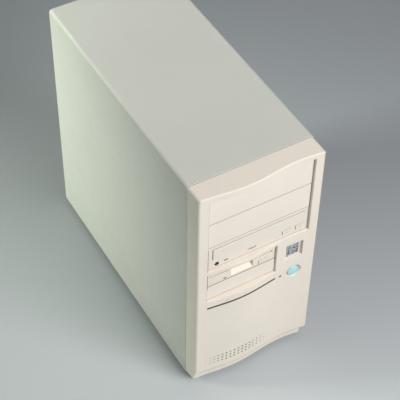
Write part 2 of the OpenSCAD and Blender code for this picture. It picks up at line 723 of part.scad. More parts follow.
// Card bracket with its fixing tab folded inward
module bracket(z) {
  block([-41, 79], [plate_y, rear_y], at(z, [-9.2, 9.2]));
  block([-42, -41], [rear_y - 11, rear_y], at(z, [-9.2, 9.2]));
}

module sound_card() color(board_green) at_case() {
  z = slot_zs[1];
  card(z, 232, -18, [-121, -44]);
  block([18, 40], at(rear_y, [-100, -78]), at(z, [-3.4, -0.6]));
  for (k = [0:4]) rod_z(3.4, at(z, [-9, -0.6]), -6 + k * 12, rear_y - 40);
}

jack_xs = [6, 22, 38];
jack_r = 1.8;

module sound_bracket() color(zinc) at_case() difference() {
  bracket(slot_zs[1] - bracket_drop);
  for (x = jack_xs) rod_y(4.4, at(rear_y, [-4, 4]), x, slot_zs[1] - bracket_drop);
}

module audio_jacks() color([0.20, 0.45, 0.30]) at_case() for (x = jack_xs) {
  z = slot_zs[1] - bracket_drop;
  difference() {
    union() {
      block(at(x, [-5.5, 5.5]), at(rear_y, [-15, -1.1]), at(z, [-5, 4]));
      rod_y(4.2, at(rear_y, [-2, 3]), x, z);
    }
    rod_y(jack_r, at(rear_y, [-12, 4]), x, z);
  }
}

module slot_covers() color(zinc) at_case() for (k = [0, 2]) bracket(slot_zs[k] - bracket_drop);

module cd_drive_body() color(zinc) at_case() difference() {
  block(at(bay_cx, [-cd_half, cd_half]), [cd_face_back, cd_back], cd_z);
  block([tray_x[0] + 1.3, tray_x[1] - 1.3], [cd_face_back - 1, 162], [252.9, 267.5]);
  block(at(wheel_at[0], [-wheel_r - 1.5, wheel_r + 1.5]), [cd_face_back - 1, wheel_at[1] + wheel_r + 2],
    wheel_slot_z);
  block(at(wheel_at[0], [-2, 2]), [cd_face_back - 1, wheel_at[1] + 2], [wheel_z[0] - 1.2, wheel_z[1] + 1.2]);
  block(at(jack_at[0], [-3.6, 3.6]), [cd_face_back - 1, -8], at(jack_at[1], [-3.6, 3.6]));
  block([-60, -20], [cd_back - 8, cd_back + 1], at(cd_z[0], [6, 15]));
  block([-5, 60], [cd_back - 8, cd_back + 1], at(cd_z[0], [6, 16]));
}

module cd_drive_bezel() color(ivory) at_case() {
  difference() {
    block(bay5_x + 0.5 * [1, -1], [cd_front, cd_face_back], cd_z);
    block(tray_x + tray_gap, [cd_front - 1, cd_face_back + 1], tray_z + tray_gap);
    for (x = [play_x, eject_x]) {
      block(x + gap * [-1, 1], [cd_front - 1, cd_face_back + 1], key_z + gap * [-1, 1]);
    }
    block(at(wheel_at[0], [-5.7, 5.7]), [cd_front - 1, cd_face_back + 1], wheel_slot_z);
    block(at(wheel_at[0], (wheel_r + 1) * [-1, 1]), [cd_front + 1.2, cd_face_back + 1], wheel_slot_z);
    front_prism([cd_front - 1, cd_face_back + 1],
      [for (a = [0:15:345]) [jack_at[0] + 3.36 * cos(a), jack_at[1] + 3.36 * sin(a)]]);
    rod_y(0.7, [cd_front - 1, cd_face_back + 1], 28, jack_at[1]);
  }
  rod_z(wheel_pin_r, wheel_z + [-1, 1], wheel_at[0], wheel_at[1]);
}

module cd_tray() color([0.16, 0.16, 0.17]) at_case() difference() {
  block([tray_x[0] + 2, tray_x[1] - 2], [-20, 135], [253.3, 261.3]);
  rod_z(disc_r, [258.7, 262], bay_cx + 1, disc_y);
  rod_z(disc_r - 20, [257.2, 259], bay_cx + 1, disc_y);
  rod_z(18, [252, 262], bay_cx + 1, disc_y);
  block(at(bay_cx + 1, [-15, 15]), [disc_y, 136], [252, 262]);
}

module cd_tray_front() color(ivory) at_case() block(tray_x, [cd_front - 1, -20], tray_z);

// Push key with a stepped stem, proud of the drive's face
module push_key(x, y, z) {
  block(x, [y - 1.1, y + 3.2], z);
  block(at((x[0] + x[1]) / 2, [-3, 3]), [y + 3, y + 4.9], at((z[0] + z[1]) / 2, [-1.6, 1.6]));
}

module cd_eject_button() color(ivory) at_case() push_key(eject_x, cd_front, key_z);

module cd_play_button() color(ivory) at_case() push_key(play_x, cd_front, key_z);

module cd_volume_wheel() color(black) at_case() difference() {
  rod_z(wheel_r, wheel_z, wheel_at[0], wheel_at[1]);
  rod_z(wheel_pin_r + shaft_gap, wheel_z + [-1, 1], wheel_at[0], wheel_at[1]);
  for (a = [0:15:345]) {
    rod_z(0.5, wheel_z + [-1, 1], wheel_at[0] + wheel_r * cos(a), wheel_at[1] + wheel_r * sin(a), $fn = 8);
  }
}

module cd_headphone_jack() color(black) at_case() difference() {
  rod_y(3.3, [cd_front - 0.3, -8], jack_at[0], jack_at[1]);
  rod_y(jack_r, [cd_front - 1, -10], jack_at[0], jack_at[1]);
}

module floppy_body() color(zinc) at_case() difference() {
  block(at(bay3_cx, [-floppy_half, floppy_half]), [floppy_face_back, floppy_back], floppy_z + [0.4, -0.8]);
  block(at(bay3_cx, [-46.5, 46.5]), [floppy_face_back - 1, 100], [213.6, 220]);
  block(floppy_key_x + 0.6 * [-1, 1], [floppy_face_back - 1, -4], floppy_key_z + 0.6 * [-1, 1]);
  block(at(bay3_cx, [-30, 20]), [floppy_back - 8, floppy_back + 1], at(floppy_z[0], [5, 11]));
}

module floppy_bezel() color(cream) at_case() difference() {
  block(bay3_x + 0.6 * [1, -1], [floppy_front, floppy_face_back], floppy_z);
  block(at(bay3_cx, [-47, 47]), [floppy_front - 1, floppy_face_back + 1], disk_slot_z);
  rod_x(pin_r + shaft_gap, at(bay3_cx, [-48.3, 48.3]), flap_axis[0], flap_axis[1]);
  side_prism(at(bay3_cx, recess_x), [[floppy_front - 1, recess_z[0]], [floppy_front, recess_z[0]],
    [floppy_front + recess_d, recess_z[1]], [floppy_front + recess_d, disk_slot_z[0] + 1],
    [floppy_front - 1, disk_slot_z[0] + 1]]);
  block(floppy_key_x + gap * [-1, 1], [floppy_front - 1, floppy_face_back + 1], floppy_key_z + gap * [-1, 1]);
}

module floppy_flap() color([0.80, 0.76, 0.64]) at_case() {
  block(at(bay3_cx, [-46.5, 46.5]), [flap_axis[0] - 1, flap_axis[0] - 0.2], disk_slot_z + [0.25, -0.25]);
  for (s = [-1, 1]) {
    rod_x(pin_r, at(bay3_cx, s < 0 ? [-48, -45] : [45, 48]), flap_axis[0], flap_axis[1]);
  }
}

module floppy_eject_button() color(cream) at_case()
  block(floppy_key_x, [floppy_front - 0.8, -8], floppy_key_z);

module hard_drive() color([0.55, 0.56, 0.58]) at_case() {
  x = at(bay3_cx, [-floppy_half, floppy_half]);
  difference() {
    block(x, [6, 152], [hdd_z[0], hdd_z[1] - 3]);
    block(x + [6, -6], [10, 140], [hdd_z[0] - 1, hdd_z[0] + 2]);
    block([-60, -8], [146, 153], at(hdd_z[0], [2, 11]));
  }
  block(x + [2, -2], [8, 150], [hdd_z[1] - 3.2, hdd_z[1] - 1]);
  rod_z(34, [hdd_z[1] - 1.2, hdd_z[1]], bay3_cx, 58);
  block(x + [14, -14], [14, 138], [hdd_z[0] + 0.4, hdd_z[0] + 2.4]);
}

front_bezel();
blank_525_upper();
blank_525_lower();
blank_35();
power_button();
power_led();
power_switch();
case_badge();
cover_hood();
hood_screws();
feet();
base_pan();
front_panel();
rear_panel();
top_rails();
drive_cage_525();
drive_cage_35();
motherboard_tray();
psu_housing();
psu_circuit_board();
psu_fan_frame();
psu_fan_rotor();
psu_fan_grille();
psu_inlet();
psu_selector();
psu_selector_slider();
psu_screws();
motherboard();
expansion_slots();
memory_slots();
memory_module();
cpu_socket();
zif_lever();
cpu_heatsink();
cpu_fan_frame();
cpu_fan_rotor();
io_shield();
mini_din_ports();
usb_ports();
serial_ports();
parallel_port();
graphics_card();
graphics_bracket();
sound_card();
sound_bracket();
audio_jacks();
slot_covers();
cd_drive_body();
cd_drive_bezel();
cd_tray();
cd_tray_front();
cd_eject_button();
cd_play_button();
cd_volume_wheel();
cd_headphone_jack();
floppy_body();
floppy_bezel();
floppy_flap();
floppy_eject_button();
hard_drive();
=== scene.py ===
"""Looks of a beige desktop computer tower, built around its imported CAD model."""

import json
import math
import random

import bmesh
import bpy
from mathutils import Matrix, Vector

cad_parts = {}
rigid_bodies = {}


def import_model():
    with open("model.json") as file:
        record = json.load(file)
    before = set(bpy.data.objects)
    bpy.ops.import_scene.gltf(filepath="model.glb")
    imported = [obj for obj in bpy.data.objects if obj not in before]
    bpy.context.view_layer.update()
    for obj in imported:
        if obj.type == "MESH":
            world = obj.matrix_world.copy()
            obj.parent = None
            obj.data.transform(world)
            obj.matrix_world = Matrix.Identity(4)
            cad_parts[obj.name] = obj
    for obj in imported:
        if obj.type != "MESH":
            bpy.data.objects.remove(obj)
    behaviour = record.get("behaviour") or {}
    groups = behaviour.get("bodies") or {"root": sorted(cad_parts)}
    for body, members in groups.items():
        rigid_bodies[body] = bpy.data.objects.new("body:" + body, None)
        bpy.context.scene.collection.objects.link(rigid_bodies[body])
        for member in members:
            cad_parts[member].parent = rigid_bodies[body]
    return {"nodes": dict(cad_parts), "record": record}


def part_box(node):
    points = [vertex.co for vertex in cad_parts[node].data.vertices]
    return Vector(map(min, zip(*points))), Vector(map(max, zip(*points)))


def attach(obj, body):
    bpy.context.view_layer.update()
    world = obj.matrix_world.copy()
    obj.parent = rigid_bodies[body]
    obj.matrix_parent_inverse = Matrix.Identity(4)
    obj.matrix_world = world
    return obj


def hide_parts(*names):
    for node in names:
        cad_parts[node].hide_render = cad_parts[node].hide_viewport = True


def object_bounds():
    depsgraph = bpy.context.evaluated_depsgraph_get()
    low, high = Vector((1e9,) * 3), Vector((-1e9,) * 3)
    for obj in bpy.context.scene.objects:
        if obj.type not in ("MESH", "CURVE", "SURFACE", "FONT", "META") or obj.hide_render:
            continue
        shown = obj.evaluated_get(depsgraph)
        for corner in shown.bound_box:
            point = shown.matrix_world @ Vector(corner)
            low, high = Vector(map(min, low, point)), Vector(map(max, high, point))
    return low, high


for leftover in list(bpy.data.objects):
    bpy.data.objects.remove(leftover)
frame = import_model()
CAD_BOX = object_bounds()
NODES = frame["nodes"]
MM = 0.001
SHARP = math.radians(38)
rng = random.Random(7)


def lo(node):
    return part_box(node)[0]


def hi(node):
    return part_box(node)[1]


def mid(node):
    a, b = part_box(node)
    return (a + b) / 2


# ---------------------------------------------------------------- materials
class Mat:
    """A node material with a Principled shader and short helpers."""

    def __init__(self, name, rough=0.5, metal=0.0, **sockets):
        self.mat = bpy.data.materials.new(name)
        self.mat.use_nodes = True
        self.tree = self.mat.node_tree
        self.bsdf = self.tree.nodes["Principled BSDF"]
        self.bsdf.inputs["Roughness"].default_value = rough
        self.bsdf.inputs["Metallic"].default_value = metal
        for key, value in sockets.items():
            self.bsdf.inputs[key.replace("_", " ")].default_value = value
        self.coord = self.add("ShaderNodeTexCoord").outputs["Object"]

    def add(self, kind, **inputs):
        node = self.tree.nodes.new(kind)
        for key, value in inputs.items():
            self.put(node.inputs[key.replace("_", " ")], value)
        return node

    def put(self, socket, value):
        if isinstance(value, bpy.types.NodeSocket):
            self.tree.links.new(value, socket)
        else:
            socket.default_value = value

    def noise(self, scale, detail=2.0, coord=None):
        node = self.add("ShaderNodeTexNoise", Scale=scale, Detail=detail)
        self.put(node.inputs["Vector"], coord or self.coord)
        return node.outputs["Fac"]

    def math(self, op, a, b=0.0):
        node = self.add("ShaderNodeMath")
        node.operation = op
        self.put(node.inputs[0], a)
        self.put(node.inputs[1], b)
        return node.outputs[0]

    def spread(self, fac, low, high, a=0.3, b=0.7):
        """A value from low to high as fac goes from a to b."""
        node = self.add("ShaderNodeMapRange")
        limits = {"Value": fac, "From Min": a, "From Max": b, "To Min": low, "To Max": high}
        for key, value in limits.items():
            self.put(node.inputs[key], value)
        return node.outputs["Result"]

    def mix(self, fac, a, b):
        node = self.add("ShaderNodeMix")
        node.data_type = "RGBA"
        self.put(node.inputs[0], fac)
        self.put(node.inputs[6], a if isinstance(a, bpy.types.NodeSocket) else (*a, 1))
        self.put(node.inputs[7], b if isinstance(b, bpy.types.NodeSocket) else (*b, 1))
        return node.outputs[2]

    def axis(self, letter):
        return self.add("ShaderNodeSeparateXYZ", Vector=self.coord).outputs[letter]

    def color(self, socket):
        self.put(self.bsdf.inputs["Base Color"], socket)

    def rough(self, socket):
        self.put(self.bsdf.inputs["Roughness"], socket)

    def bump(self, height, strength, distance):
        node = self.add("ShaderNodeBump", Height=height, Strength=strength, Distance=distance)
        self.put(self.bsdf.inputs["Normal"], node.outputs["Normal"])


def shade(color, k):
    return tuple(min(1.0, c * k) for c in color)


def moulded(name, color, rough=0.46, grain=2400.0, depth=0.05, mottle=26.0, vary=0.05, **sockets):
    """Moulded plastic: spark-eroded grain, faint flow marks and handling sheen."""
    m = Mat(name, rough, **sockets)
    broad = m.noise(mottle, 3.0)
    base = m.mix(m.spread(broad, 0.0, 1.0), shade(color, 1 - vary), shade(color, 1 + vary * 0.5))
    speck = m.noise(grain * 0.45, 1.0)
    m.color(m.mix(m.spread(speck, 0.0, 0.10, 0.55, 0.8), base, shade(color, 0.72)))
    m.rough(m.spread(m.noise(mottle * 4, 2.0), rough - 0.05, rough + 0.08))
    fine = m.noise(grain, 2.0)
    m.bump(m.math("ADD", fine, m.math("MULTIPLY", m.noise(mottle * 2, 1.0), 0.6)), depth, 0.0002)
    return m


def painted(name, color, rough=0.42):
    """Baked texture paint on sheet steel: orange peel with fine pepper, a little dust in the broad tone."""
    m = Mat(name, rough)
    broad = m.mix(m.spread(m.noise(6.0, 3.0), 0.0, 1.0), shade(color, 0.965), shade(color, 1.02))
    pepper = m.noise(1500.0, 1.0)
    m.color(m.mix(m.spread(pepper, 0.0, 0.22, 0.5, 0.85), broad, shade(color, 0.70)))
    m.rough(m.spread(m.noise(80.0, 3.0), rough - 0.06, rough + 0.10))
    m.bump(m.math("ADD", m.noise(900.0, 2.0), m.math("MULTIPLY", m.noise(260.0, 1.0), 0.5)), 0.16, 0.0003)
    return m


def plated(name, color, rough=0.34, spangle=140.0, brushed=None):
    """Zinc-plated or nickel-plated sheet: crystal spangle or brush lines, smudged gloss."""
    m = Mat(name, rough, metal=1.0)
    cell = m.add("ShaderNodeTexVoronoi", Scale=spangle)
    m.put(cell.inputs["Vector"], m.coord)
    tone = m.add("ShaderNodeSeparateColor", Color=cell.outputs["Color"]).outputs[0]
    m.color(m.mix(m.spread(tone, 0.0, 1.0, 0.0, 1.0), shade(color, 0.95), shade(color, 1.03)))
    smudge = m.noise(13.0, 4.0)
    gloss = m.math("ADD", smudge, m.math("MULTIPLY", tone, 0.2))
    m.rough(m.spread(gloss, rough - 0.04, rough + 0.08, 0.2, 1.0))
    if brushed:
        stretch = m.add("ShaderNodeMapping", Scale=brushed)
        m.put(stretch.inputs["Vector"], m.coord)
        m.bump(m.noise(500.0, 2.0, stretch.outputs["Vector"]), 0.02, 0.0001)
    else:
        m.bump(m.math("ADD", tone, m.noise(1200.0, 1.0)), 0.03, 0.0002)
    return m


def board(name, color, plane_axis, limit, above, part=(0.016, 0.016, 0.018), trace=1.35, u="Y", v="Z"):
    """Solder mask with copper runs and pads; whatever stands off the board's face is dark moulded epoxy."""
    m = Mat(name, 0.32)
    off = m.math("GREATER_THAN" if above else "LESS_THAN", m.axis(plane_axis), limit)
    a, b = m.axis(u), m.axis(v)
    bend = m.math("MULTIPLY", m.noise(18.0, 0.0), 0.035)
    runs = m.math("SINE", m.math("MULTIPLY", m.math("ADD", a, bend), 2400.0))
    cross = m.math("SINE", m.math("MULTIPLY", m.math("ADD", b, bend), 2100.0))
    pick = m.math("GREATER_THAN", m.noise(45.0, 0.0), 0.5)
    across = m.math("MULTIPLY", cross, m.math("SUBTRACT", 1.0, pick))
    lines = m.math("ADD", m.math("MULTIPLY", runs, pick), across)
    field = m.math("GREATER_THAN", m.noise(30.0, 1.0), 0.44)
    copper = m.math("MULTIPLY", m.math("GREATER_THAN", lines, 0.35), field)
    dots = m.add("ShaderNodeTexVoronoi", Scale=330.0)
    dots.inputs["Randomness"].default_value = 0.55
    m.put(dots.inputs["Vector"], m.coord)
    spots = m.math("LESS_THAN", dots.outputs["Distance"], 0.22)
    pads = m.math("MULTIPLY", spots, m.math("GREATER_THAN", m.noise(70.0, 0.0), 0.55))
    mask = m.mix(copper, color, shade(color, trace))
    mask = m.mix(pads, mask, (0.45, 0.44, 0.40))
    mask = m.mix(m.math("MULTIPLY", m.noise(10.0, 2.0), 0.25), mask, shade(color, 0.7))
    m.color(m.mix(off, mask, part))
    m.rough(m.mix(off, (0.30, 0.30, 0.30), (0.52, 0.52, 0.52)))
    m.bump(m.math("ADD", m.math("MULTIPLY", copper, 0.5), pads), 0.25, 0.0001)
    return m


IVORY = (0.800, 0.748, 0.662)
CREAM = (0.780, 0.728, 0.628)
M = {
    "ivory_abs": moulded("ivory_abs", IVORY, 0.47, vary=0.018),
    "tray_abs": moulded("tray_abs", (0.770, 0.722, 0.642), 0.44, vary=0.018),
    "drive_abs": moulded("drive_abs", (0.775, 0.722, 0.640), 0.45, vary=0.018),
    "cream_abs": moulded("cream_abs", CREAM, 0.47, vary=0.018),
    # The floppy flap's dark brown is partly its own tone and partly painted shade of the disk slot; the key
    # marks share it as their print colour.
    "shaded_flap_and_mark_abs": moulded("shaded_flap_and_mark_abs", (0.36, 0.30, 0.20), 0.45),
    "hood_paint": painted("hood_paint", (0.600, 0.610, 0.568)),
    "zinc_steel": plated("zinc_steel", (0.62, 0.63, 0.63), 0.40, 120.0),
    "nickel": plated("nickel", (0.70, 0.70, 0.69), 0.34, 160.0, brushed=(1.0, 1.0, 9.0)),
    "black_plastic": moulded("black_plastic", (0.022, 0.022, 0.024), 0.45, vary=0.15),
    "rubber_foot": moulded("rubber_foot", (0.018, 0.018, 0.018), 0.78, 900.0, 0.2, vary=0.2),
    "aqua_plastic": moulded("aqua_plastic", (0.43, 0.74, 0.77), 0.22, 2600.0, 0.015, 60.0, 0.04,
                            Coat_Weight=0.5),
    "led_red": moulded("led_red", (0.40, 0.19, 0.15), 0.24, 1500.0, 0.02, Transmission_Weight=0.25),
    "led_dark": moulded("led_dark", (0.10, 0.105, 0.085), 0.22, 1500.0, 0.02, Coat_Weight=0.3),
    "wheel_grip": moulded("wheel_grip", (0.46, 0.40, 0.31), 0.50, 1500.0, 0.12),
    # Painted shade: a dark brown put in the air holes, the hood's top seam and the gaps round the drawer and
    # keys.
    "recess_painted_shade": moulded("recess_painted_shade", (0.100, 0.070, 0.040), 0.70, 1200.0, 0.10, vary=0.2),
    # Painted shade for the inside of the long air slot.
    "slot_painted_shade": moulded("slot_painted_shade", (0.085, 0.060, 0.036), 0.75, 1200.0, 0.10, vary=0.2),
    # Brown for the painted shade in the gaps round the blanks and drives, and the own colour of the two ledge
    # marks.
    "gap_shade_and_mark_brown": moulded("gap_shade_and_mark_brown", (0.30, 0.235, 0.155), 0.60, 1200.0, 0.10, vary=0.1),
    # Tan painted shade under the overhang of the face's lower edge.
    "plinth_shade_tan": moulded("plinth_shade_tan", (0.50, 0.42, 0.31), 0.55, vary=0.05),
    # Black painted shade for socket holes, header cells and screw slots.
    "hole_painted_shade": moulded("hole_painted_shade", (0.012, 0.012, 0.012), 0.60, vary=0.2),
    "ceramic_tan": moulded("ceramic_tan", (0.42, 0.30, 0.17), 0.45, vary=0.2),
    "solder_mask_dark": moulded("solder_mask_dark", (0.020, 0.020, 0.022), 0.42, vary=0.2),
    "jack_blue": moulded("jack_blue", (0.12, 0.24, 0.55), 0.40),
    "jack_green": moulded("jack_green", (0.22, 0.55, 0.16), 0.40),
    "jack_pink": moulded("jack_pink", (0.70, 0.25, 0.33), 0.40),
    "can_top": plated("can_top", (0.74, 0.75, 0.76), 0.30, 900.0),
    "connector_white": moulded("connector_white", (0.72, 0.70, 0.63), 0.40),
    "connector_violet": moulded("connector_violet", (0.16, 0.10, 0.26), 0.40),
    "connector_burgundy": moulded("connector_burgundy", (0.33, 0.07, 0.14), 0.40),
    "connector_green": moulded("connector_green", (0.10, 0.30, 0.14), 0.40),
    "connector_blue": moulded("connector_blue", (0.05, 0.12, 0.38), 0.40),
    "red_plastic": moulded("red_plastic", (0.48, 0.03, 0.025), 0.35),
    "heatsink": plated("heatsink", (0.60, 0.61, 0.63), 0.38, 900.0, brushed=(1.0, 1.0, 12.0)),
    "drive_cast": plated("drive_cast", (0.44, 0.45, 0.47), 0.48, 700.0),
    "gold": plated("gold", (0.80, 0.58, 0.25), 0.25, 800.0),
    "brass": plated("brass", (0.70, 0.62, 0.42), 0.26, 800.0),
}


def slots_of(record):
    return {s["node"]: s["material_slot"] for s in record["subparts"]}


SLOT = slots_of(frame["record"])


def two_zone(name, axis_name, limit, low, high):
    """Material that turns from low to high colour where the coordinate passes the limit."""
    m = Mat(name, 0.42)
    step = m.math("GREATER_THAN", m.axis(axis_name), limit)
    tone = m.mix(m.spread(m.noise(40.0, 2.0), 0.0, 1.0), shade(low, 0.94), shade(low, 1.03))
    m.color(m.mix(step, tone, high))
    m.rough(m.spread(m.noise(120.0, 2.0), 0.36, 0.50))
    m.bump(m.noise(2200.0, 2.0), 0.05, 0.0002)
    return m


def badge_material():
    """Silvery film with an abstract mosaic of small blocks, and a plain rim."""
    m = Mat("badge_film", 0.30, metal=0.55)
    a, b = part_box("case_badge")
    size = b - a
    u = m.math("DIVIDE", m.math("SUBTRACT", m.axis("X"), a.x), size.x)
    v = m.math("DIVIDE", m.math("SUBTRACT", m.axis("Z"), a.z), size.z)
    square = m.add("ShaderNodeCombineXYZ", X=m.math("MULTIPLY", u, 7.0), Y=m.math("MULTIPLY", v, 8.0), Z=0.0)
    cell = m.add("ShaderNodeTexVoronoi", Scale=1.0)
    cell.distance = "CHEBYCHEV"
    cell.inputs["Randomness"].default_value = 0.35
    m.put(cell.inputs["Vector"], square.outputs[0])
    part = m.add("ShaderNodeSeparateColor", Color=cell.outputs["Color"])
    tone = m.mix(m.spread(part.outputs[0], 0.0, 1.0, 0.35, 0.65), (0.15, 0.17, 0.18), (0.58, 0.61, 0.62))
    tone = m.mix(m.spread(part.outputs[1], 0.0, 0.5, 0.6, 0.9), tone, (0.36, 0.36, 0.46))
    edge_u = m.math("ABSOLUTE", m.math("SUBTRACT", u, 0.5))
    edge_v = m.math("ABSOLUTE", m.math("SUBTRACT", v, 0.5))
    rim = m.math("GREATER_THAN", m.math("MAXIMUM", edge_u, edge_v), 0.435)
    m.color(m.mix(rim, tone, (0.50, 0.50, 0.52)))
    m.rough(m.spread(part.outputs[2], 0.22, 0.42, 0.0, 1.0))
    m.bump(cell.outputs["Distance"], 0.25, 0.0002)
    return m


M["badge_film"] = badge_material()
PCB = (0.020, 0.115, 0.050)
BOARD_X = 76.0
SHIELD_TO_CASE_X = 33.8
board_face_x = lo("io_shield").x + (BOARD_X - SHIELD_TO_CASE_X - 0.03) * MM
M["board_main"] = board("board_main", PCB, "X", board_face_x, False)
M["board_memory"] = board("board_memory", PCB, "Y", lo("memory_module").y + 1.35 * MM, True, u="X", v="Z")
card_face = {n: hi(n).z - 1.63 * MM for n in ("graphics_card", "sound_card")}
M["board_video"] = board("board_video", (0.015, 0.075, 0.14), "Z", card_face["graphics_card"], False,
                         u="X", v="Y")
M["board_sound"] = board("board_sound", PCB, "Z", card_face["sound_card"], False, u="X", v="Y")
M["board_power"] = board("board_power", (0.34, 0.22, 0.09), "Z", lo("psu_circuit_board").z + 6.7 * MM, True,
                         part=(0.10, 0.10, 0.11), trace=0.8, u="X", v="Y")
agp_z = hi("expansion_slots").z - 8.6 * MM
M["slot_plastic"] = two_zone("slot_plastic", "Z", agp_z, (0.72, 0.70, 0.63), (0.16, 0.065, 0.03))
for key in list(M):
    M[key].mat.name = key

MATERIAL_OF = {
    "cd_tray_front": "tray_abs", "cd_drive_bezel": "drive_abs", "cd_eject_button": "tray_abs",
    "cd_play_button": "tray_abs", "cd_volume_wheel": "wheel_grip", "floppy_flap": "shaded_flap_and_mark_abs",
    "motherboard": "board_main",
    "memory_module": "board_memory", "graphics_card": "board_video", "sound_card": "board_sound",
    "psu_circuit_board": "board_power", "expansion_slots": "slot_plastic",
}


# ---------------------------------------------------------------- CAD nodes: material and softened edges
# Edge radii in millimetres. The moulded front gets its own in refined_front.
BEVEL = {
    "blank_525_upper": 0.45, "blank_525_lower": 0.45, "blank_35": 0.4, "power_button": 0.5,
    "power_led": 0.2, "case_badge": 0.15, "cover_hood": 0.42, "feet": 1.0, "hood_screws": 0.25,
    "psu_screws": 0.25, "cd_drive_bezel": 0.4, "cd_tray_front": 0.5, "cd_eject_button": 0.4,
    "cd_play_button": 0.4, "floppy_bezel": 0.35, "floppy_eject_button": 0.35, "floppy_flap": 0.12,
    "cd_headphone_jack": 0.2, "psu_inlet": 0.3, "psu_selector": 0.2, "psu_selector_slider": 0.2,
    "psu_fan_frame": 0.4, "cpu_fan_frame": 0.3, "psu_fan_rotor": 0.2, "cpu_fan_rotor": 0.15,
    "psu_fan_grille": 0.35, "cd_drive_body": 0.3, "floppy_body": 0.3, "hard_drive": 0.4,
    "psu_housing": 0.25, "memory_slots": 0.2, "expansion_slots": 0.2, "cpu_socket": 0.3,
    "serial_ports": 0.2, "parallel_port": 0.2, "usb_ports": 0.15, "mini_din_ports": 0.2,
    "audio_jacks": 0.2, "cd_volume_wheel": 0.1, "power_switch": 0.3, "cd_tray": 0.25,
    "front_bezel": 0.0,
}
FINE_EDGE = 0.12


def dress(node):
    obj = NODES[node]
    m = M[MATERIAL_OF.get(node, SLOT[node])]
    obj.data.materials.clear()
    obj.data.materials.append(m.mat)
    obj.data.polygons.foreach_set("use_smooth", [True] * len(obj.data.polygons))
    weld = obj.modifiers.new("weld", "WELD")
    weld.merge_threshold = 1e-6
    flat = obj.modifiers.new("flat", "DECIMATE")
    flat.decimate_type = "DISSOLVE"
    flat.angle_limit = math.radians(0.05)
    width = BEVEL.get(node, FINE_EDGE)
    if width:
        bevel = obj.modifiers.new("edge", "BEVEL")
        bevel.width = width * MM
        bevel.segments = 3 if width >= 0.4 else 2
        bevel.limit_method = "ANGLE"
        bevel.angle_limit = SHARP
        bevel.use_clamp_overlap = False
        bevel.loop_slide = False
    even = obj.modifiers.new("normals", "WEIGHTED_NORMAL")
    even.keep_sharp = False
    even.weight = 100


for name in NODES:
    dress(name)


# ---------------------------------------------------------------- moulded front with its own edge radii
CASE = Vector((0, lo("cover_hood").y, lo("cover_hood").z))


def at_case(x, y, z):
    """A point given in millimetres from the seam behind the front and the hood's bottom edge."""
    return CASE + Vector((x, y, z)) * MM


BAY_X = (lo("blank_525_upper").x, hi("blank_525_upper").x)
BAY_Z = (lo("cd_drive_bezel").z, hi("blank_525_upper").z)
NARROW_X = (lo("blank_35").x, hi("blank_35").x)
NARROW_Z = (lo("blank_35").z, hi("floppy_bezel").z)
GROOVE_Z = (at_case(0, 0, 159.3).z, at_case(0, 0, 162.9).z)


def near_window(c, xs, zs, slack=1.3 * MM):
    """True for a point on the rim of a rectangular opening in the front."""
    inside = xs[0] - slack < c.x < xs[1] + slack and zs[0] - slack < c.z < zs[1] + slack
    deep = xs[0] + slack < c.x < xs[1] - slack and zs[0] + slack < c.z < zs[1] - slack
    return inside and not deep


def refined_front():
    """Copy of the moulded front: a soft top edge, smaller radii round the openings, crisp air holes."""
    node = NODES["front_bezel"]
    a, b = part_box("front_bezel")
    top_z, plinth_z = b.z - 5 * MM, at_case(0, 0, 24).z
    front_limit = a.y + 9 * MM
    badge, button = mid("case_badge"), mid("power_button")
    bm = bmesh.new()
    bm.from_mesh(node.data)
    bmesh.ops.remove_doubles(bm, verts=bm.verts[:], dist=1e-6)
    bmesh.ops.dissolve_limit(bm, angle_limit=math.radians(0.05), verts=bm.verts[:], edges=bm.edges[:])

    def round_edges(width, segments, test):
        bm.normal_update()
        chosen = []
        for edge in bm.edges:
            if len(edge.link_faces) == 2 and edge.is_convex and edge.calc_face_angle(0.0) > SHARP:
                if test((edge.verts[0].co + edge.verts[1].co) / 2):
                    chosen.append(edge)
        bmesh.ops.bevel(bm, geom=chosen, offset=width * MM, offset_type="OFFSET", segments=segments,
                        profile=0.5, affect="EDGES", clamp_overlap=False, loop_slide=False)

    def in_front(c):
        return c.y < front_limit

    def on_bay_rim(c):
        return near_window(c, BAY_X, BAY_Z) or near_window(c, NARROW_X, NARROW_Z)

    def near_badge(c):
        return abs(c.x - badge.x) < 15 * MM and abs(c.z - badge.z) < 17 * MM

    round_edges(1.5, 4, lambda c: in_front(c) and c.z > top_z)
    round_edges(0.8, 3, lambda c: in_front(c) and on_bay_rim(c))
    round_edges(0.5, 3, lambda c: in_front(c) and near_badge(c))
    round_edges(0.4, 2, lambda c: in_front(c) and (c - button).xz.length < 13 * MM)
    round_edges(0.6, 3, lambda c: in_front(c) and abs(c.z - plinth_z) < 1 * MM)
    for edge in bm.edges:
        edge.smooth = len(edge.link_faces) != 2 or edge.calc_face_angle(0.0) < SHARP
    mesh = bpy.data.meshes.new("front_moulding")
    bm.to_mesh(mesh)
    bm.free()
    mesh.polygons.foreach_set("use_smooth", [True] * len(mesh.polygons))
    mesh.materials.append(M["ivory_abs"].mat)
    obj = bpy.data.objects.new("front_moulding", mesh)
    bpy.context.scene.collection.objects.link(obj)
    even = obj.modifiers.new("normals", "WEIGHTED_NORMAL")
    even.weight = 100
    even.keep_sharp = True
    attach(obj, "case")
    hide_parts("front_bezel")


refined_front()


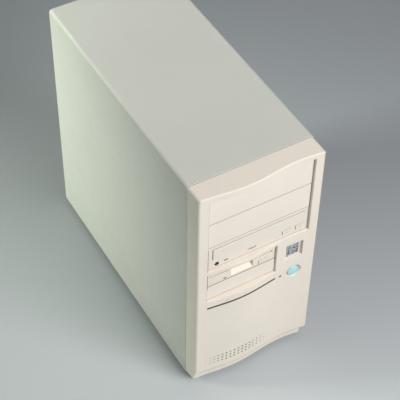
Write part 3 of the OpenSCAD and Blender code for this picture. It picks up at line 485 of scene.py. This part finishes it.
# ---------------------------------------------------------------- small mesh builders
class Piece:
    """One mesh built from many small solids; it rides on one body."""

    def __init__(self, name, body, material, slot=None, bevel=0.1, segments=2):
        self.bm = bmesh.new()
        self.name, self.body, self.material, self.slot = name, body, material, slot
        self.bevel, self.segments = bevel, segments

    def box(self, a, b):
        a, b = Vector(a), Vector(b)
        m = Matrix.Translation((a + b) / 2) @ Matrix.Diagonal((*(b - a), 1))
        bmesh.ops.create_cube(self.bm, size=1.0, matrix=m)
        return self

    def rod(self, start, end, r, r2=None, n=20):
        """Round bar from start to end, with its own end radius."""
        start, end = Vector(start), Vector(end)
        d = end - start
        m = Matrix.Translation((start + end) / 2) @ d.to_track_quat("Z", "Y").to_matrix().to_4x4()
        bmesh.ops.create_cone(self.bm, cap_ends=True, segments=n, radius1=r, radius2=r if r2 is None else r2,
                              depth=d.length, matrix=m)
        return self

    def ring(self, center, axis, r_out, r_in, depth, n=32):
        """Flat ring from center along axis."""
        axis = Vector(axis).normalized()
        side = axis.orthogonal().normalized()
        up = axis.cross(side)
        rows = []
        for k in range(n):
            t = 2 * math.pi * k / n
            d = side * math.cos(t) + up * math.sin(t)
            c = Vector(center)
            rows.append([self.bm.verts.new(c + d * r + axis * h) for r, h in
                         ((r_out, 0), (r_out, depth), (r_in, depth), (r_in, 0))])
        for k in range(n):
            p, q = rows[k], rows[(k + 1) % n]
            for j in range(4):
                self.bm.faces.new((p[j], q[j], q[(j + 1) % 4], p[(j + 1) % 4]))
        return self

    def loft(self, rows):
        """Skin over a row of closed outlines with the same number of points, capped at both ends."""
        rings = [[self.bm.verts.new(p) for p in row] for row in rows]
        self.bm.faces.new(rings[0])
        self.bm.faces.new(list(reversed(rings[-1])))
        for p, q in zip(rings, rings[1:]):
            for j in range(len(p)):
                k = (j + 1) % len(p)
                self.bm.faces.new((p[j], q[j], q[k], p[k]))
        return self

    def tube(self, outer, inner, direction):
        """Wall between two outlines with the same number of points, pushed along direction."""
        push = Vector(direction)
        rows = [[self.bm.verts.new(v) for v in (Vector(p), Vector(p) + push, Vector(q) + push, Vector(q))]
                for p, q in zip(outer, inner)]
        for k in range(len(rows)):
            p, q = rows[k], rows[(k + 1) % len(rows)]
            for j in range(4):
                self.bm.faces.new((p[j], q[j], q[(j + 1) % 4], p[(j + 1) % 4]))
        return self

    def prism(self, outline, direction):
        """Closed outline pushed along direction."""
        base = [self.bm.verts.new(p) for p in outline]
        top = [self.bm.verts.new(Vector(p) + Vector(direction)) for p in outline]
        self.bm.faces.new(base)
        self.bm.faces.new(list(reversed(top)))
        for k in range(len(base)):
            j = (k + 1) % len(base)
            self.bm.faces.new((base[k], top[k], top[j], base[j]))
        return self

    def done(self):
        bmesh.ops.recalc_face_normals(self.bm, faces=self.bm.faces)
        mesh = bpy.data.meshes.new(self.name)
        self.bm.to_mesh(mesh)
        self.bm.free()
        mesh.polygons.foreach_set("use_smooth", [True] * len(mesh.polygons))
        obj = bpy.data.objects.new(self.name, mesh)
        bpy.context.scene.collection.objects.link(obj)
        mesh.materials.append(M[self.material].mat)
        bevel = obj.modifiers.new("edge", "BEVEL")
        bevel.width = self.bevel * MM
        bevel.segments = self.segments
        bevel.limit_method = "ANGLE"
        bevel.angle_limit = SHARP
        even = obj.modifiers.new("normals", "WEIGHTED_NORMAL")
        even.weight = 100
        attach(obj, self.body)
        return obj


def box_at(piece, x, y, z):
    """Box from its limits on each axis, in millimetres as for at_case."""
    return piece.box(at_case(x[0], y[0], z[0]), at_case(x[1], y[1], z[1]))


# ---------------------------------------------------------------- front details
CD_FACE = lo("cd_drive_bezel").y
FLOPPY_FACE = lo("floppy_bezel").y


def drive_lamps():
    """Small dark lenses on the two drive faces."""
    lens = Piece("drive_lamp_lenses", "case", "led_dark", "led_red", 0.25, 3)
    for node, dx, dz, half in (("cd_drive_bezel", 28.2, 6.0, 2.65), ("floppy_bezel", 27.6, 3.4, 2.0)):
        c = lo(node) + Vector((dx, 0, dz)) * MM
        lens.box(c - Vector((half, 0.35, 1.0)) * MM, c + Vector((half, 1.0, 1.0)) * MM)
    lens.done()


drive_lamps()


def key_mark(name, node, body, eject):
    """Small raised triangle, with a bar under it on the key that opens the drawer."""
    a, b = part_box(node)
    c = (a + b) / 2
    y = a.y
    p = Piece(name, body, "shaded_flap_and_mark_abs", "ivory_abs", 0.06)
    if eject:
        pts = [(c.x - 1.1 * MM, c.z - 0.1 * MM), (c.x + 1.1 * MM, c.z - 0.1 * MM), (c.x, c.z + 1.2 * MM)]
        p.box((c.x - 1.1 * MM, y - 0.12 * MM, c.z - 0.9 * MM), (c.x + 1.1 * MM, y + 0.3 * MM, c.z - 0.5 * MM))
    else:
        pts = [(c.x - 0.9 * MM, c.z - 1.0 * MM), (c.x + 1.1 * MM, c.z), (c.x - 0.9 * MM, c.z + 1.0 * MM)]
    p.prism([(px, y + 0.3 * MM, pz) for px, pz in pts], (0, -0.42 * MM, 0))
    p.done()


key_mark("eject_key_mark", "cd_eject_button", "cd_eject_key", True)
key_mark("play_key_mark", "cd_play_button", "cd_play_key", False)


def wave_profile():
    """Places across the face and their depth along the air slot's lower edge, read from the moulding."""
    face = {}
    for v in NODES["front_bezel"].data.vertices:
        if abs(v.co.z - GROOVE_Z[0]) < 0.05 * MM:
            key = round(v.co.x, 5)
            face[key] = min(face.get(key, 0.0), v.co.y)
    front = min(face.values())
    return [(x, face[x]) for x in sorted(face) if face[x] < front + 8 * MM]


WAVE = wave_profile()


def face_y(x):
    """Depth of the wave face at x, between the ends of the air slot."""
    for (x0, y0), (x1, y1) in zip(WAVE, WAVE[1:]):
        if x0 <= x <= x1:
            return y0 + (y1 - y0) * (x - x0) / (x1 - x0)
    return WAVE[0][1] if x < WAVE[0][0] else WAVE[-1][1]


def groove_painted_shade():
    """Dark strip of painted shade in the long air slot, a little behind the wave of the face."""
    rows = []
    for x, y in WAVE:
        near, far = y + 0.35 * MM, y + 2.6 * MM
        low, high = GROOVE_Z
        rows.append([(x, near, low), (x, near, high), (x, far, high), (x, far, low)])
    Piece("groove_painted_shade", "case", "slot_painted_shade", "ivory_abs", 0.02, 1).loft(rows).done()


def vent_painted_shade():
    """Dark discs of painted shade in each small air hole, set back a little from the face."""
    columns, rows, pitch, radius, fade = 17, 3, 6.1, 1.6, 0.55
    first_x, first_z = -73.7, 49.2
    shades = Piece("vent_painted_shade", "case", "recess_painted_shade", "ivory_abs", 0.01, 1)
    for i in range(columns):
        r = radius * (1 - fade * abs(2 * i / (columns - 1) - 1) ** 3) * MM
        for j in range(rows):
            c = at_case(first_x + i * pitch, 0, first_z - j * pitch)
            y = face_y(c.x) + 0.75 * MM
            shades.rod((c.x, y, c.z), (c.x, y + 1.2 * MM, c.z), r - 0.01 * MM, n=24)
    shades.done()


def plinth_painted_shade_line():
    """Tan strip of painted shade under the face's lower edge, above the set-back plinth; it follows the wave
    of the face.
    """
    mean, half_depth, length, crest, plinth_top = 30.7, 3.0, 146.0, -23.0, 24.0
    section = ((0, -1.2), (0, -0.02), (1.5, -0.02), (1.5, -1.2))
    rows = []
    for k in range(69):
        x = -85 + 2.5 * k
        y = 0.45 - mean - half_depth * math.cos(2 * math.pi * (x - crest) / length)
        rows.append([at_case(x, y + dy, plinth_top + dz) for dy, dz in section])
    Piece("plinth_painted_shade_line", "case", "plinth_shade_tan", "ivory_abs", 0.1, 2).loft(rows).done()


groove_painted_shade()
vent_painted_shade()
plinth_painted_shade_line()


def seam_painted_shade():
    """Dark strip of painted shade in the joint between hood and front over the top and its corners; pale
    filler lips down the sides.
    """
    a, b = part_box("cover_hood")
    outer, bend = 3.4 * MM, 4.5 * MM
    rows = []
    centres = ((a.x + bend, 180), (b.x - bend, 90))
    z = b.z - bend
    for cx, start in centres:
        for k in range(7):
            t = math.radians(start - 15 * k)
            rim = [(cx + r * math.cos(t), y, z + r * math.sin(t)) for r, y in
                   ((outer, a.y - 0.75 * MM), (outer, a.y - 0.05 * MM), (outer - MM, a.y - 0.05 * MM),
                    (outer - MM, a.y - 0.75 * MM))]
            rows.append(rim)
    Piece("seam_painted_shade", "case", "recess_painted_shade", "ivory_abs", 0.01, 1).loft(rows).done()
    lips = Piece("seam_side_lips", "case", "ivory_abs", "ivory_abs", 0.05, 2)
    bottom = lo("front_bezel").z + 26 * MM
    for x0, x1 in ((a.x + 0.12 * MM, a.x + 1.3 * MM), (b.x - 1.3 * MM, b.x - 0.12 * MM)):
        lips.box((x0, a.y - 0.79 * MM, bottom), (x1, a.y - 0.12 * MM, z))
    lips.done()


seam_painted_shade()


def strips_round(piece, node, gap, face, clear=0.0, left=0.0):
    """Four dark strips of painted shade round a front piece, from its edge plus clear out to gap, both in
    millimetres.

    The strip on the left stands forward by left, in metres, to meet the rim there.
    """
    a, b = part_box(node)
    g, c = gap * MM, clear * MM
    near, far = face + 0.12 * MM, face + 3.0 * MM
    piece.box((a.x - g, near - left, a.z - g), (a.x - c, far, b.z + g))
    piece.box((b.x + c, near, a.z - g), (b.x + g, far, b.z + g))
    for z0, z1 in ((a.z - g, a.z - c), (b.z + c, b.z + g)):
        piece.box((a.x - g, near, z0), (b.x + g, far, z1))


def gap_shade_and_collar():
    """Thin lines of painted shade in the gaps between the front's pieces, and the headphone socket's collar.
    """
    gap_shade = Piece("bay_gap_painted_shade", "case", "gap_shade_and_mark_brown", "ivory_abs", 0.005, 1)
    for node in ("blank_525_upper", "blank_525_lower", "blank_35", "cd_drive_bezel", "floppy_bezel"):
        face = lo(node).y
        proud = face - face_y(lo(node).x) - 0.25 * MM
        strips_round(gap_shade, node, 0.5, face, 0.0, max(0.0, proud))
    gap_shade.done()
    keys = Piece("drawer_and_key_shadow_gaps", "case", "recess_painted_shade", "ivory_abs", 0.005, 1)
    for node, gap in (("cd_tray_front", 0.5), ("cd_play_button", 0.35), ("cd_eject_button", 0.35)):
        strips_round(keys, node, gap, CD_FACE, 0.08)
    strips_round(keys, "floppy_eject_button", 0.35, FLOPPY_FACE, 0.08)
    keys.done()
    jack = mid("cd_headphone_jack")
    collar = Piece("headphone_collar", "case", "drive_abs", "ivory_abs", 0.12)
    collar.ring((jack.x, CD_FACE + 0.5 * MM, jack.z), (0, -1, 0), 3.6 * MM, 1.8 * MM, 0.62 * MM, n=40).done()


gap_shade_and_collar()


def ledge_marks():
    """Two small raised marks on the ledge over the air slot."""
    marks = Piece("ledge_marks", "case", "gap_shade_and_mark_brown", "ivory_abs", 0.12)
    for x in (-46, -20):
        y = min(v.co.y for v in NODES["front_bezel"].data.vertices
                if abs(v.co.z - GROOVE_Z[1]) < 0.05 * MM and abs(v.co.x - x * MM) < 6 * MM)
        z = GROOVE_Z[1] + 4 * MM
        marks.box(((x - 1.6) * MM, y + 0.02 * MM, z - 0.35 * MM), ((x + 1.6) * MM, y + 2 * MM, z + 0.35 * MM))
    marks.done()


ledge_marks()

# ---------------------------------------------------------------- rear details
REAR = hi("io_shield").y - 0.4 * MM


def d_outline(cx, cz, half_long, half_wide, y):
    """Trapezoid of a D connector standing along Z, sizes in millimetres."""
    return [(cx + sx * half_wide * MM, y, cz + sz * (half_long - (1.6 if sx > 0 else 0)) * MM)
            for sx, sz in ((-1, -1), (1, -1), (1, 1), (-1, 1))]


def pin_rows(counts, pitch, gap):
    """Places across the row and along it for each contact of a D connector, in millimetres."""
    spots = []
    for k, count in enumerate(counts):
        across = (k - (len(counts) - 1) / 2) * gap
        spots += [(across, (i - (count - 1) / 2) * pitch) for i in range(count)]
    return spots


def rear_ports():
    """Contacts, shells, studs and rings of the sockets behind, with dark discs of painted shade for their
    holes.
    """
    pins = Piece("serial_pins", "case", "gold", "nickel", 0.05)
    a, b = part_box("serial_ports")
    cx = a.x + 6.2 * MM
    for cz in (a.z + 15.5 * MM, b.z - 15.5 * MM):
        for dx, dz in pin_rows((5, 4), 2.76, 2.84):
            x, z = cx + dx * MM, cz + dz * MM
            pins.rod((x, b.y - 4.0 * MM, z), (x, b.y - 0.6 * MM, z), 0.5 * MM, n=10)
    pins.done()

    a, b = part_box("parallel_port")
    cx, cz = a.x + 6.2 * MM, mid("parallel_port").z
    shell = Piece("parallel_shell", "case", "nickel", "nickel", 0.1)
    y = b.y - 4.3 * MM
    outer = [(cx + sx * 6.3 * MM, y, cz + sz * 26.9 * MM) for sx, sz in ((-1, -1), (1, -1), (1, 1), (-1, 1))]
    shell.tube(outer, d_outline(cx, cz, 19.55, 4.15, y), (0, 0.4 * MM, 0))
    shell.tube(d_outline(cx, cz, 19.75, 4.35, y), d_outline(cx, cz, 18.55, 3.15, y), (0, 4.35 * MM, 0))
    for end in (-23.6, 23.6):
        z = cz + end * MM
        shell.rod((cx, y, z), (cx, b.y - 0.25 * MM, z), 2.7 * MM, n=6)
    shell.done()
    holes = Piece("parallel_holes", "case", "hole_painted_shade", "black_plastic", 0.02, 1)
    for dx, dz in pin_rows((13, 12), 2.76, 2.84):
        x, z = cx + dx * MM, cz + dz * MM
        holes.rod((x, b.y - 4.2 * MM, z), (x, b.y - 3.74 * MM, z), 0.62 * MM, n=10)
    for node in ("serial_ports", "parallel_port"):
        pa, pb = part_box(node)
        ends = [(-12.3, 12.3)] * 2 if node == "serial_ports" else [(-23.6, 23.6)]
        x, y = pa.x + 6.2 * MM, pb.y
        mids = [pa.z + 15.5 * MM, pb.z - 15.5 * MM] if node == "serial_ports" else [cz]
        for pair, centre in zip(ends, mids):
            for end in pair:
                z = centre + end * MM
                holes.rod((x, y - 2 * MM, z), (x, y - 0.22 * MM, z), 1.3 * MM, n=12)
    holes.done()

    a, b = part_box("graphics_bracket")
    video = at_case(18, 0, 82.16)
    body = Piece("video_insert", "case", "connector_blue", "nickel", 0.1)
    sign = [(-1, -1), (1, -1), (1, 1), (-1, 1)]
    body.prism([(video.x + sx * (7.6 - (1.2 if sz > 0 else 0)) * MM, b.y - 1 * MM, video.z + sz * 3.3 * MM)
                for sx, sz in sign], (0, 1.15 * MM, 0))
    body.done()
    dots = Piece("video_holes", "case", "hole_painted_shade", "black_plastic", 0.02, 1)
    for dz, dx in pin_rows((5, 5, 5), 2.29, 1.98):
        x, z = video.x + dx * MM, video.z + dz * MM
        dots.rod((x, b.y, z), (x, b.y + 0.19 * MM, z), 0.5 * MM, n=10)
    dots.done()
    studs = Piece("video_studs", "case", "nickel", "nickel", 0.15)
    for side_x in (-12.5, 12.5):
        x = video.x + side_x * MM
        studs.rod((x, REAR - 0.2 * MM, video.z), (x, b.y - 0.3 * MM, video.z), 2.5 * MM, n=6)
    studs.done()

    a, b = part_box("mini_din_ports")
    cz = (a.z + b.z) / 2
    rings = Piece("mini_din_rings", "case", "nickel", "nickel", 0.08)
    din_pins = Piece("mini_din_contacts", "case", "brass", "nickel", 0.04, 1)
    for cx in (a.x + 6.8 * MM, a.x + 20 * MM):
        rings.ring((cx, b.y - 6 * MM, cz), (0, 1, 0), 4.74 * MM, 4.35 * MM, 6.05 * MM, 40)
        for dx, dz in ((-1.3, 2.1), (1.3, 2.1), (-2.6, 0), (2.6, 0), (-1.4, -2.2), (1.4, -2.2)):
            x, z = cx + dx * MM, cz + dz * MM
            din_pins.rod((x, b.y - 9.3 * MM, z), (x, b.y - 2.5 * MM, z), 0.42 * MM, n=8)
        din_pins.box((cx - 0.8 * MM, b.y - 9.3 * MM, cz - 0.5 * MM),
                     (cx + 0.8 * MM, b.y - 2.5 * MM, cz + 0.9 * MM))
    rings.done()
    din_pins.done()

    a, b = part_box("usb_ports")
    strips = Piece("usb_contacts", "case", "gold", "nickel", 0.02, 1)
    cz = (a.z + b.z) / 2
    for cx in (a.x + 4 * MM, a.x + 11.6 * MM):
        for dz in (-3.5, -1.2, 1.2, 3.5):
            strips.box((cx - 0.68 * MM, REAR - 8 * MM, cz + (dz - 0.5) * MM),
                       (cx - 0.5 * MM, REAR + 0.7 * MM, cz + (dz + 0.5) * MM))
    strips.done()

    inlet = mid("psu_inlet")
    blades = Piece("inlet_blades", "case", "brass", "nickel", 0.25)
    for dx, dz in ((-7, -1.6), (0, 2.4), (7, -1.6)):
        blades.box((inlet.x + (dx - 1.08) * MM, REAR - 15.9 * MM, inlet.z + (dz - 2.08) * MM),
                   (inlet.x + (dx + 1.08) * MM, REAR - 0.92 * MM, inlet.z + (dz + 2.08) * MM))
    blades.done()

    a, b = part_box("audio_jacks")
    for k, tint in enumerate(("jack_blue", "jack_green", "jack_pink")):
        cx = a.x + (5.5 + 16 * k) * MM
        Piece("audio_ring_%d" % (k + 1), "case", tint, "connector_green", 0.12).ring(
            (cx, b.y - 3 * MM, a.z + 5 * MM), (0, 1, 0), 4.28 * MM, 1.82 * MM, 3.15 * MM, 40).done()


rear_ports()


def screw_crosses():
    """Cross slots in the heads of the hood's and the power supply's screws, drawn as dark marks of painted
    shade.
    """
    head = 4.6 * MM
    for node, body in (("hood_screws", "hood"), ("psu_screws", "case")):
        a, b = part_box(node)
        rows = (a.z + head, b.z - head)
        if node == "hood_screws":
            rows = (a.z + head, (a.z + b.z) / 2, b.z - head)
        cross = Piece(node.replace("screws", "screw_crosses"), body, "hole_painted_shade", "nickel", 0.02, 1)
        for x in (a.x + head, b.x - head):
            for z in rows:
                for du, dv in ((1.9, 0.45), (0.45, 1.9)):
                    cross.box((x - du * MM, b.y - 0.5 * MM, z - dv * MM),
                              (x + du * MM, b.y + 0.02 * MM, z + dv * MM))
        cross.done()


screw_crosses()


def fan_hubs():
    """Metal caps on the two fan hubs; each turns with its rotor."""
    hub = mid("psu_fan_grille")
    y = hi("psu_fan_rotor").y
    cap = Piece("psu_fan_hub_cap", "psu_rotor", "can_top", "black_plastic", 0.15)
    cap.rod((hub.x, y - 0.5 * MM, hub.z), (hub.x, y + 0.2 * MM, hub.z), 10.5 * MM, n=48).done()
    hub = mid("cpu_heatsink")
    x = lo("cpu_fan_rotor").x
    cap = Piece("cpu_fan_hub_cap", "cpu_rotor", "can_top", "black_plastic", 0.1)
    cap.rod((x + 0.5 * MM, hub.y, hub.z), (x - 0.15 * MM, hub.y, hub.z), 6.5 * MM, n=48).done()


fan_hubs()

# ---------------------------------------------------------------- inside the case
CHIPS = (((180, 207), (118, 145), 26), ((196, 220), (60, 84), 22), ((284, 298), (216, 244), 14))
# Limits along Y and Z, in millimetres, of what already stands on the main board.
TAKEN = ((143, 167, 88, 234), (168, 182, 166, 226), (200, 216, 146, 206), (218, 282, 144, 236),
         (238, 340, 18, 96), (300, 328, 102, 130), (130, 146, 40, 170), (352, 376, 98, 262),
         (176, 211, 114, 149), (192, 224, 56, 88), (280, 302, 212, 248), (130, 142, 18, 34),
         (244, 260, 18, 34), (130, 142, 244, 262), (244, 260, 244, 262))


def chip_legs():
    """Gull-wing leads round the square chips."""
    legs = Piece("chip_legs", "case", "can_top", "nickel", 0.02, 1)
    for (y0, y1), (z0, z1), count in CHIPS:
        for k in range(count):
            y = y0 + 1.5 + (y1 - y0 - 3) * k / (count - 1)
            z = z0 + 1.5 + (z1 - z0 - 3) * k / (count - 1)
            for edge_z in (z0 - 1.5, z1):
                box_at(legs, (BOARD_X - 0.9, BOARD_X + 0.1), (y - 0.22, y + 0.22), (edge_z, edge_z + 1.5))
            for edge_y in (y0 - 1.5, y1):
                box_at(legs, (BOARD_X - 0.9, BOARD_X + 0.1), (edge_y, edge_y + 1.5), (z - 0.22, z + 0.22))
    legs.done()


def small_parts():
    """Scattered surface parts and pads where nothing else stands."""
    kinds = (("board_ceramics", "ceramic_tan", 90), ("board_resistors", "solder_mask_dark", 90),
             ("board_pads", "can_top", 60))
    for name, material, count in kinds:
        piece = Piece(name, "case", material, "pcb_green", 0.08, 1)
        made = 0
        while made < count:
            y, z = rng.uniform(134, 350), rng.uniform(20, 256)
            if any(t[0] < y < t[1] and t[2] < z < t[3] for t in TAKEN):
                continue
            long, wide = rng.choice(((1.6, 0.8), (2.0, 1.2), (3.0, 1.6)))
            if rng.random() < 0.5:
                long, wide = wide, long
            tall = rng.choice((0.5, 0.8, 1.1))
            box_at(piece, (BOARD_X - tall, BOARD_X + 0.1), (y - long / 2, y + long / 2),
                   (z - wide / 2, z + wide / 2))
            made += 1
        piece.done()


def board_connectors():
    """Ribbon and power headers, and the tops of the capacitors and the cell."""
    block = Piece("ribbon_headers", "case", "solder_mask_dark", "black_plastic", 0.2)
    pins = Piece("ribbon_pins", "case", "gold", "nickel", 0.02, 1)
    for z0, z1 in ((44, 100), (106, 162)):
        rims = []
        for y0, y1, inset in ((134, 142.5, 0), (135.1, 141.4, 1.1)):
            a, b = z0 + inset, z1 - inset
            rims.append([at_case(67.5, y, z) for y, z in ((y0, a), (y1, a), (y1, b), (y0, b))])
        outer, inner = rims
        block.tube(outer, inner, (8.6 * MM, 0, 0))
        box_at(block, (74, BOARD_X + 0.1), (134.5, 142), (z0 + 0.5, z1 - 0.5))
        for k in range(20):
            for y in (136.98, 139.52):
                z = (z0 + z1) / 2 + (k - 9.5) * 2.54
                box_at(pins, (69, 75), (y - 0.32, y + 0.32), (z - 0.32, z + 0.32))
    block.done()
    pins.done()
    header = Piece("power_header_cover", "case", "connector_white", "connector_white", 0.2)
    a, b = at_case(68, 172, 170), at_case(76, 178, 222)
    header.box(a - Vector((0.15, 0.15, 0.15)) * MM, b + Vector((0.1, 0.15, 0.15)) * MM).done()
    # Dark cells of painted shade for the header's contact holes.
    cells = Piece("power_header_cells", "case", "hole_painted_shade", "black_plastic", 0.05, 1)
    for k in range(12):
        z = 173.2 + k * 4.15
        box_at(cells, (67.8, 69), (173.1, 176.9), (z - 1.3, z + 1.3))
    cells.done()
    tops = Piece("capacitor_tops", "case", "can_top", "nickel", 0.12)
    for k in range(5):
        c = at_case(64, board_row, 152 + k * 12)
        tops.rod(c + Vector((0.4 * MM, 0, 0)), c - Vector((0.12 * MM, 0, 0)), 3.6 * MM, n=28)
    cell = at_case(72, lo("motherboard").y / MM - CASE.y / MM + 184, 116)
    tops.rod(cell + Vector((0.5 * MM, 0, 0)), cell - Vector((0.15 * MM, 0, 0)), 9.5 * MM, n=48)
    tops.done()


board_row = (lo("motherboard").y - CASE.y) / MM + 80
chip_legs()
small_parts()
board_connectors()


def pan_heads():
    """Pan-head screws that hold the drives in their cages and the card brackets on their rail, with dark
    crosses of painted shade for their slots.
    """
    heads = Piece("drive_and_card_screws", "case", "nickel", "nickel", 0.35, 3)
    marks = Piece("drive_and_card_screw_crosses", "case", "hole_painted_shade", "nickel", 0.02, 1)

    def head(x, y, z, r):
        c = at_case(x, y, z)
        heads.rod(c, c - Vector((1.7 * MM, 0, 0)), r * MM, r * 0.8 * MM, n=28)
        for du, dv in ((r * 0.5, 0.35), (0.35, r * 0.5)):
            box_at(marks, (x - 1.72, x - 1.2), (y - du, y + du), (z - dv, z + dv))

    for node in ("drive_cage_525", "drive_cage_35"):
        a = lo(node)
        x = (a.x - CASE.x) / MM
        y0, z0 = (a.y - CASE.y) / MM, (a.z - CASE.z) / MM
        for k in range(3):
            head(x, y0 + 22 + k * 38, z0 + 18, 3.7)
    tab_x = (lo("slot_covers").x - CASE.x) / MM
    for k in range(4):
        head(tab_x, (REAR - CASE.y) / MM - 6, 26 + k * 20.32 - 4.8, 3.4)
    heads.done()
    marks.done()


pan_heads()

# ---------------------------------------------------------------- camera, floor, light
scene = bpy.context.scene
cam_data = bpy.data.cameras.new("camera")
camera = bpy.data.objects.new("camera", cam_data)
scene.collection.objects.link(camera)
scene.camera = camera
focal_px, frame_px = 1271.23, 400.0
cam_data.sensor_width = 36.0
cam_data.lens = focal_px / frame_px * 36.0
cam_data.dof.use_dof = False
cam_data.clip_start, cam_data.clip_end = 0.05, 50.0
azimuth, elevation, roll = math.radians(30.85), math.radians(47.23), -0.021
level = math.cos(elevation)
look = Vector((math.sin(azimuth) * level, math.cos(azimuth) * level, -math.sin(elevation)))
side = look.cross(Vector((0, 0, 1))).normalized()
down = look.cross(side)
right = side * math.cos(roll) + down * math.sin(roll)
low = down * math.cos(roll) - side * math.sin(roll)
turn = Matrix((right, -low, -look)).transposed()
stand = Vector((-0.6042, -1.0661, 1.4724))
camera.matrix_world = Matrix.Translation(stand) @ turn.to_4x4()


def area(name, at, target, size, power, color=(1, 1, 1)):
    data = bpy.data.lights.new(name, "AREA")
    data.shape = "SQUARE"
    data.size = size
    data.energy = power
    data.color = color
    obj = bpy.data.objects.new(name, data)
    scene.collection.objects.link(obj)
    obj.location = at
    obj.rotation_mode = "QUATERNION"
    obj.rotation_quaternion = (Vector(target) - Vector(at)).to_track_quat("-Z", "Y")
    obj.visible_camera = False
    return obj


area("key", (0.55, -1.85, 1.75), (0, -0.1, 0.2), 1.3, 57.5, (1.0, 0.975, 0.97))
area("top", (0.2, 0.1, 2.3), (0, 0, 0.3), 1.6, 4.0, (0.98, 1.0, 0.99))
rear_light = area("left_rear", (-1.3, 0.62, 0.8), (-0.09, 0.36, 0.22), 0.5, 2.55, (0.94, 1.0, 0.86))
rear_light.data.spread = math.radians(50)
world = bpy.data.worlds.new("studio")
scene.world = world
world.use_nodes = True
background = world.node_tree.nodes["Background"]
background.inputs["Color"].default_value = (0.96, 0.96, 0.95, 1)
background.inputs["Strength"].default_value = 0.115
scene.view_settings.view_transform = "Standard"

# Backdrop paper with painted light falloff: darker far away, paler toward the camera along the line of sight.
floor_mat = Mat("floor_paper", 0.85)
away = floor_mat.math("ADD", floor_mat.math("MULTIPLY", floor_mat.axis("X"), math.sin(azimuth)),
                      floor_mat.math("MULTIPLY", floor_mat.axis("Y"), math.cos(azimuth)))
nearness = floor_mat.math("POWER", floor_mat.spread(away, 1.0, 0.0, -0.24, 0.60), 1.7)
floor_falloff_tone = floor_mat.mix(nearness, (0.250, 0.267, 0.294), (0.552, 0.598, 0.615))
cloud = floor_mat.math("MULTIPLY", floor_mat.noise(2.0, 1.0), 0.1)
floor_mat.color(floor_mat.mix(cloud, floor_falloff_tone, (0.36, 0.385, 0.41)))
floor_mat.bump(floor_mat.noise(400.0, 1.0), 0.02, 0.0002)
floor_mesh = bpy.data.meshes.new("floor")
reach = 6.0
corners = [(-reach, -reach, 0), (reach, -reach, 0), (reach, reach, 0), (-reach, reach, 0)]
floor_mesh.from_pydata(corners, [], [(0, 1, 2, 3)])
floor = bpy.data.objects.new("floor", floor_mesh)
floor.location.z = CAD_BOX[0].z - 0.0002
scene.collection.objects.link(floor)
floor_mesh.materials.append(floor_mat.mat)

# ---------------------------------------------------------------- final update
bpy.context.view_layer.update()
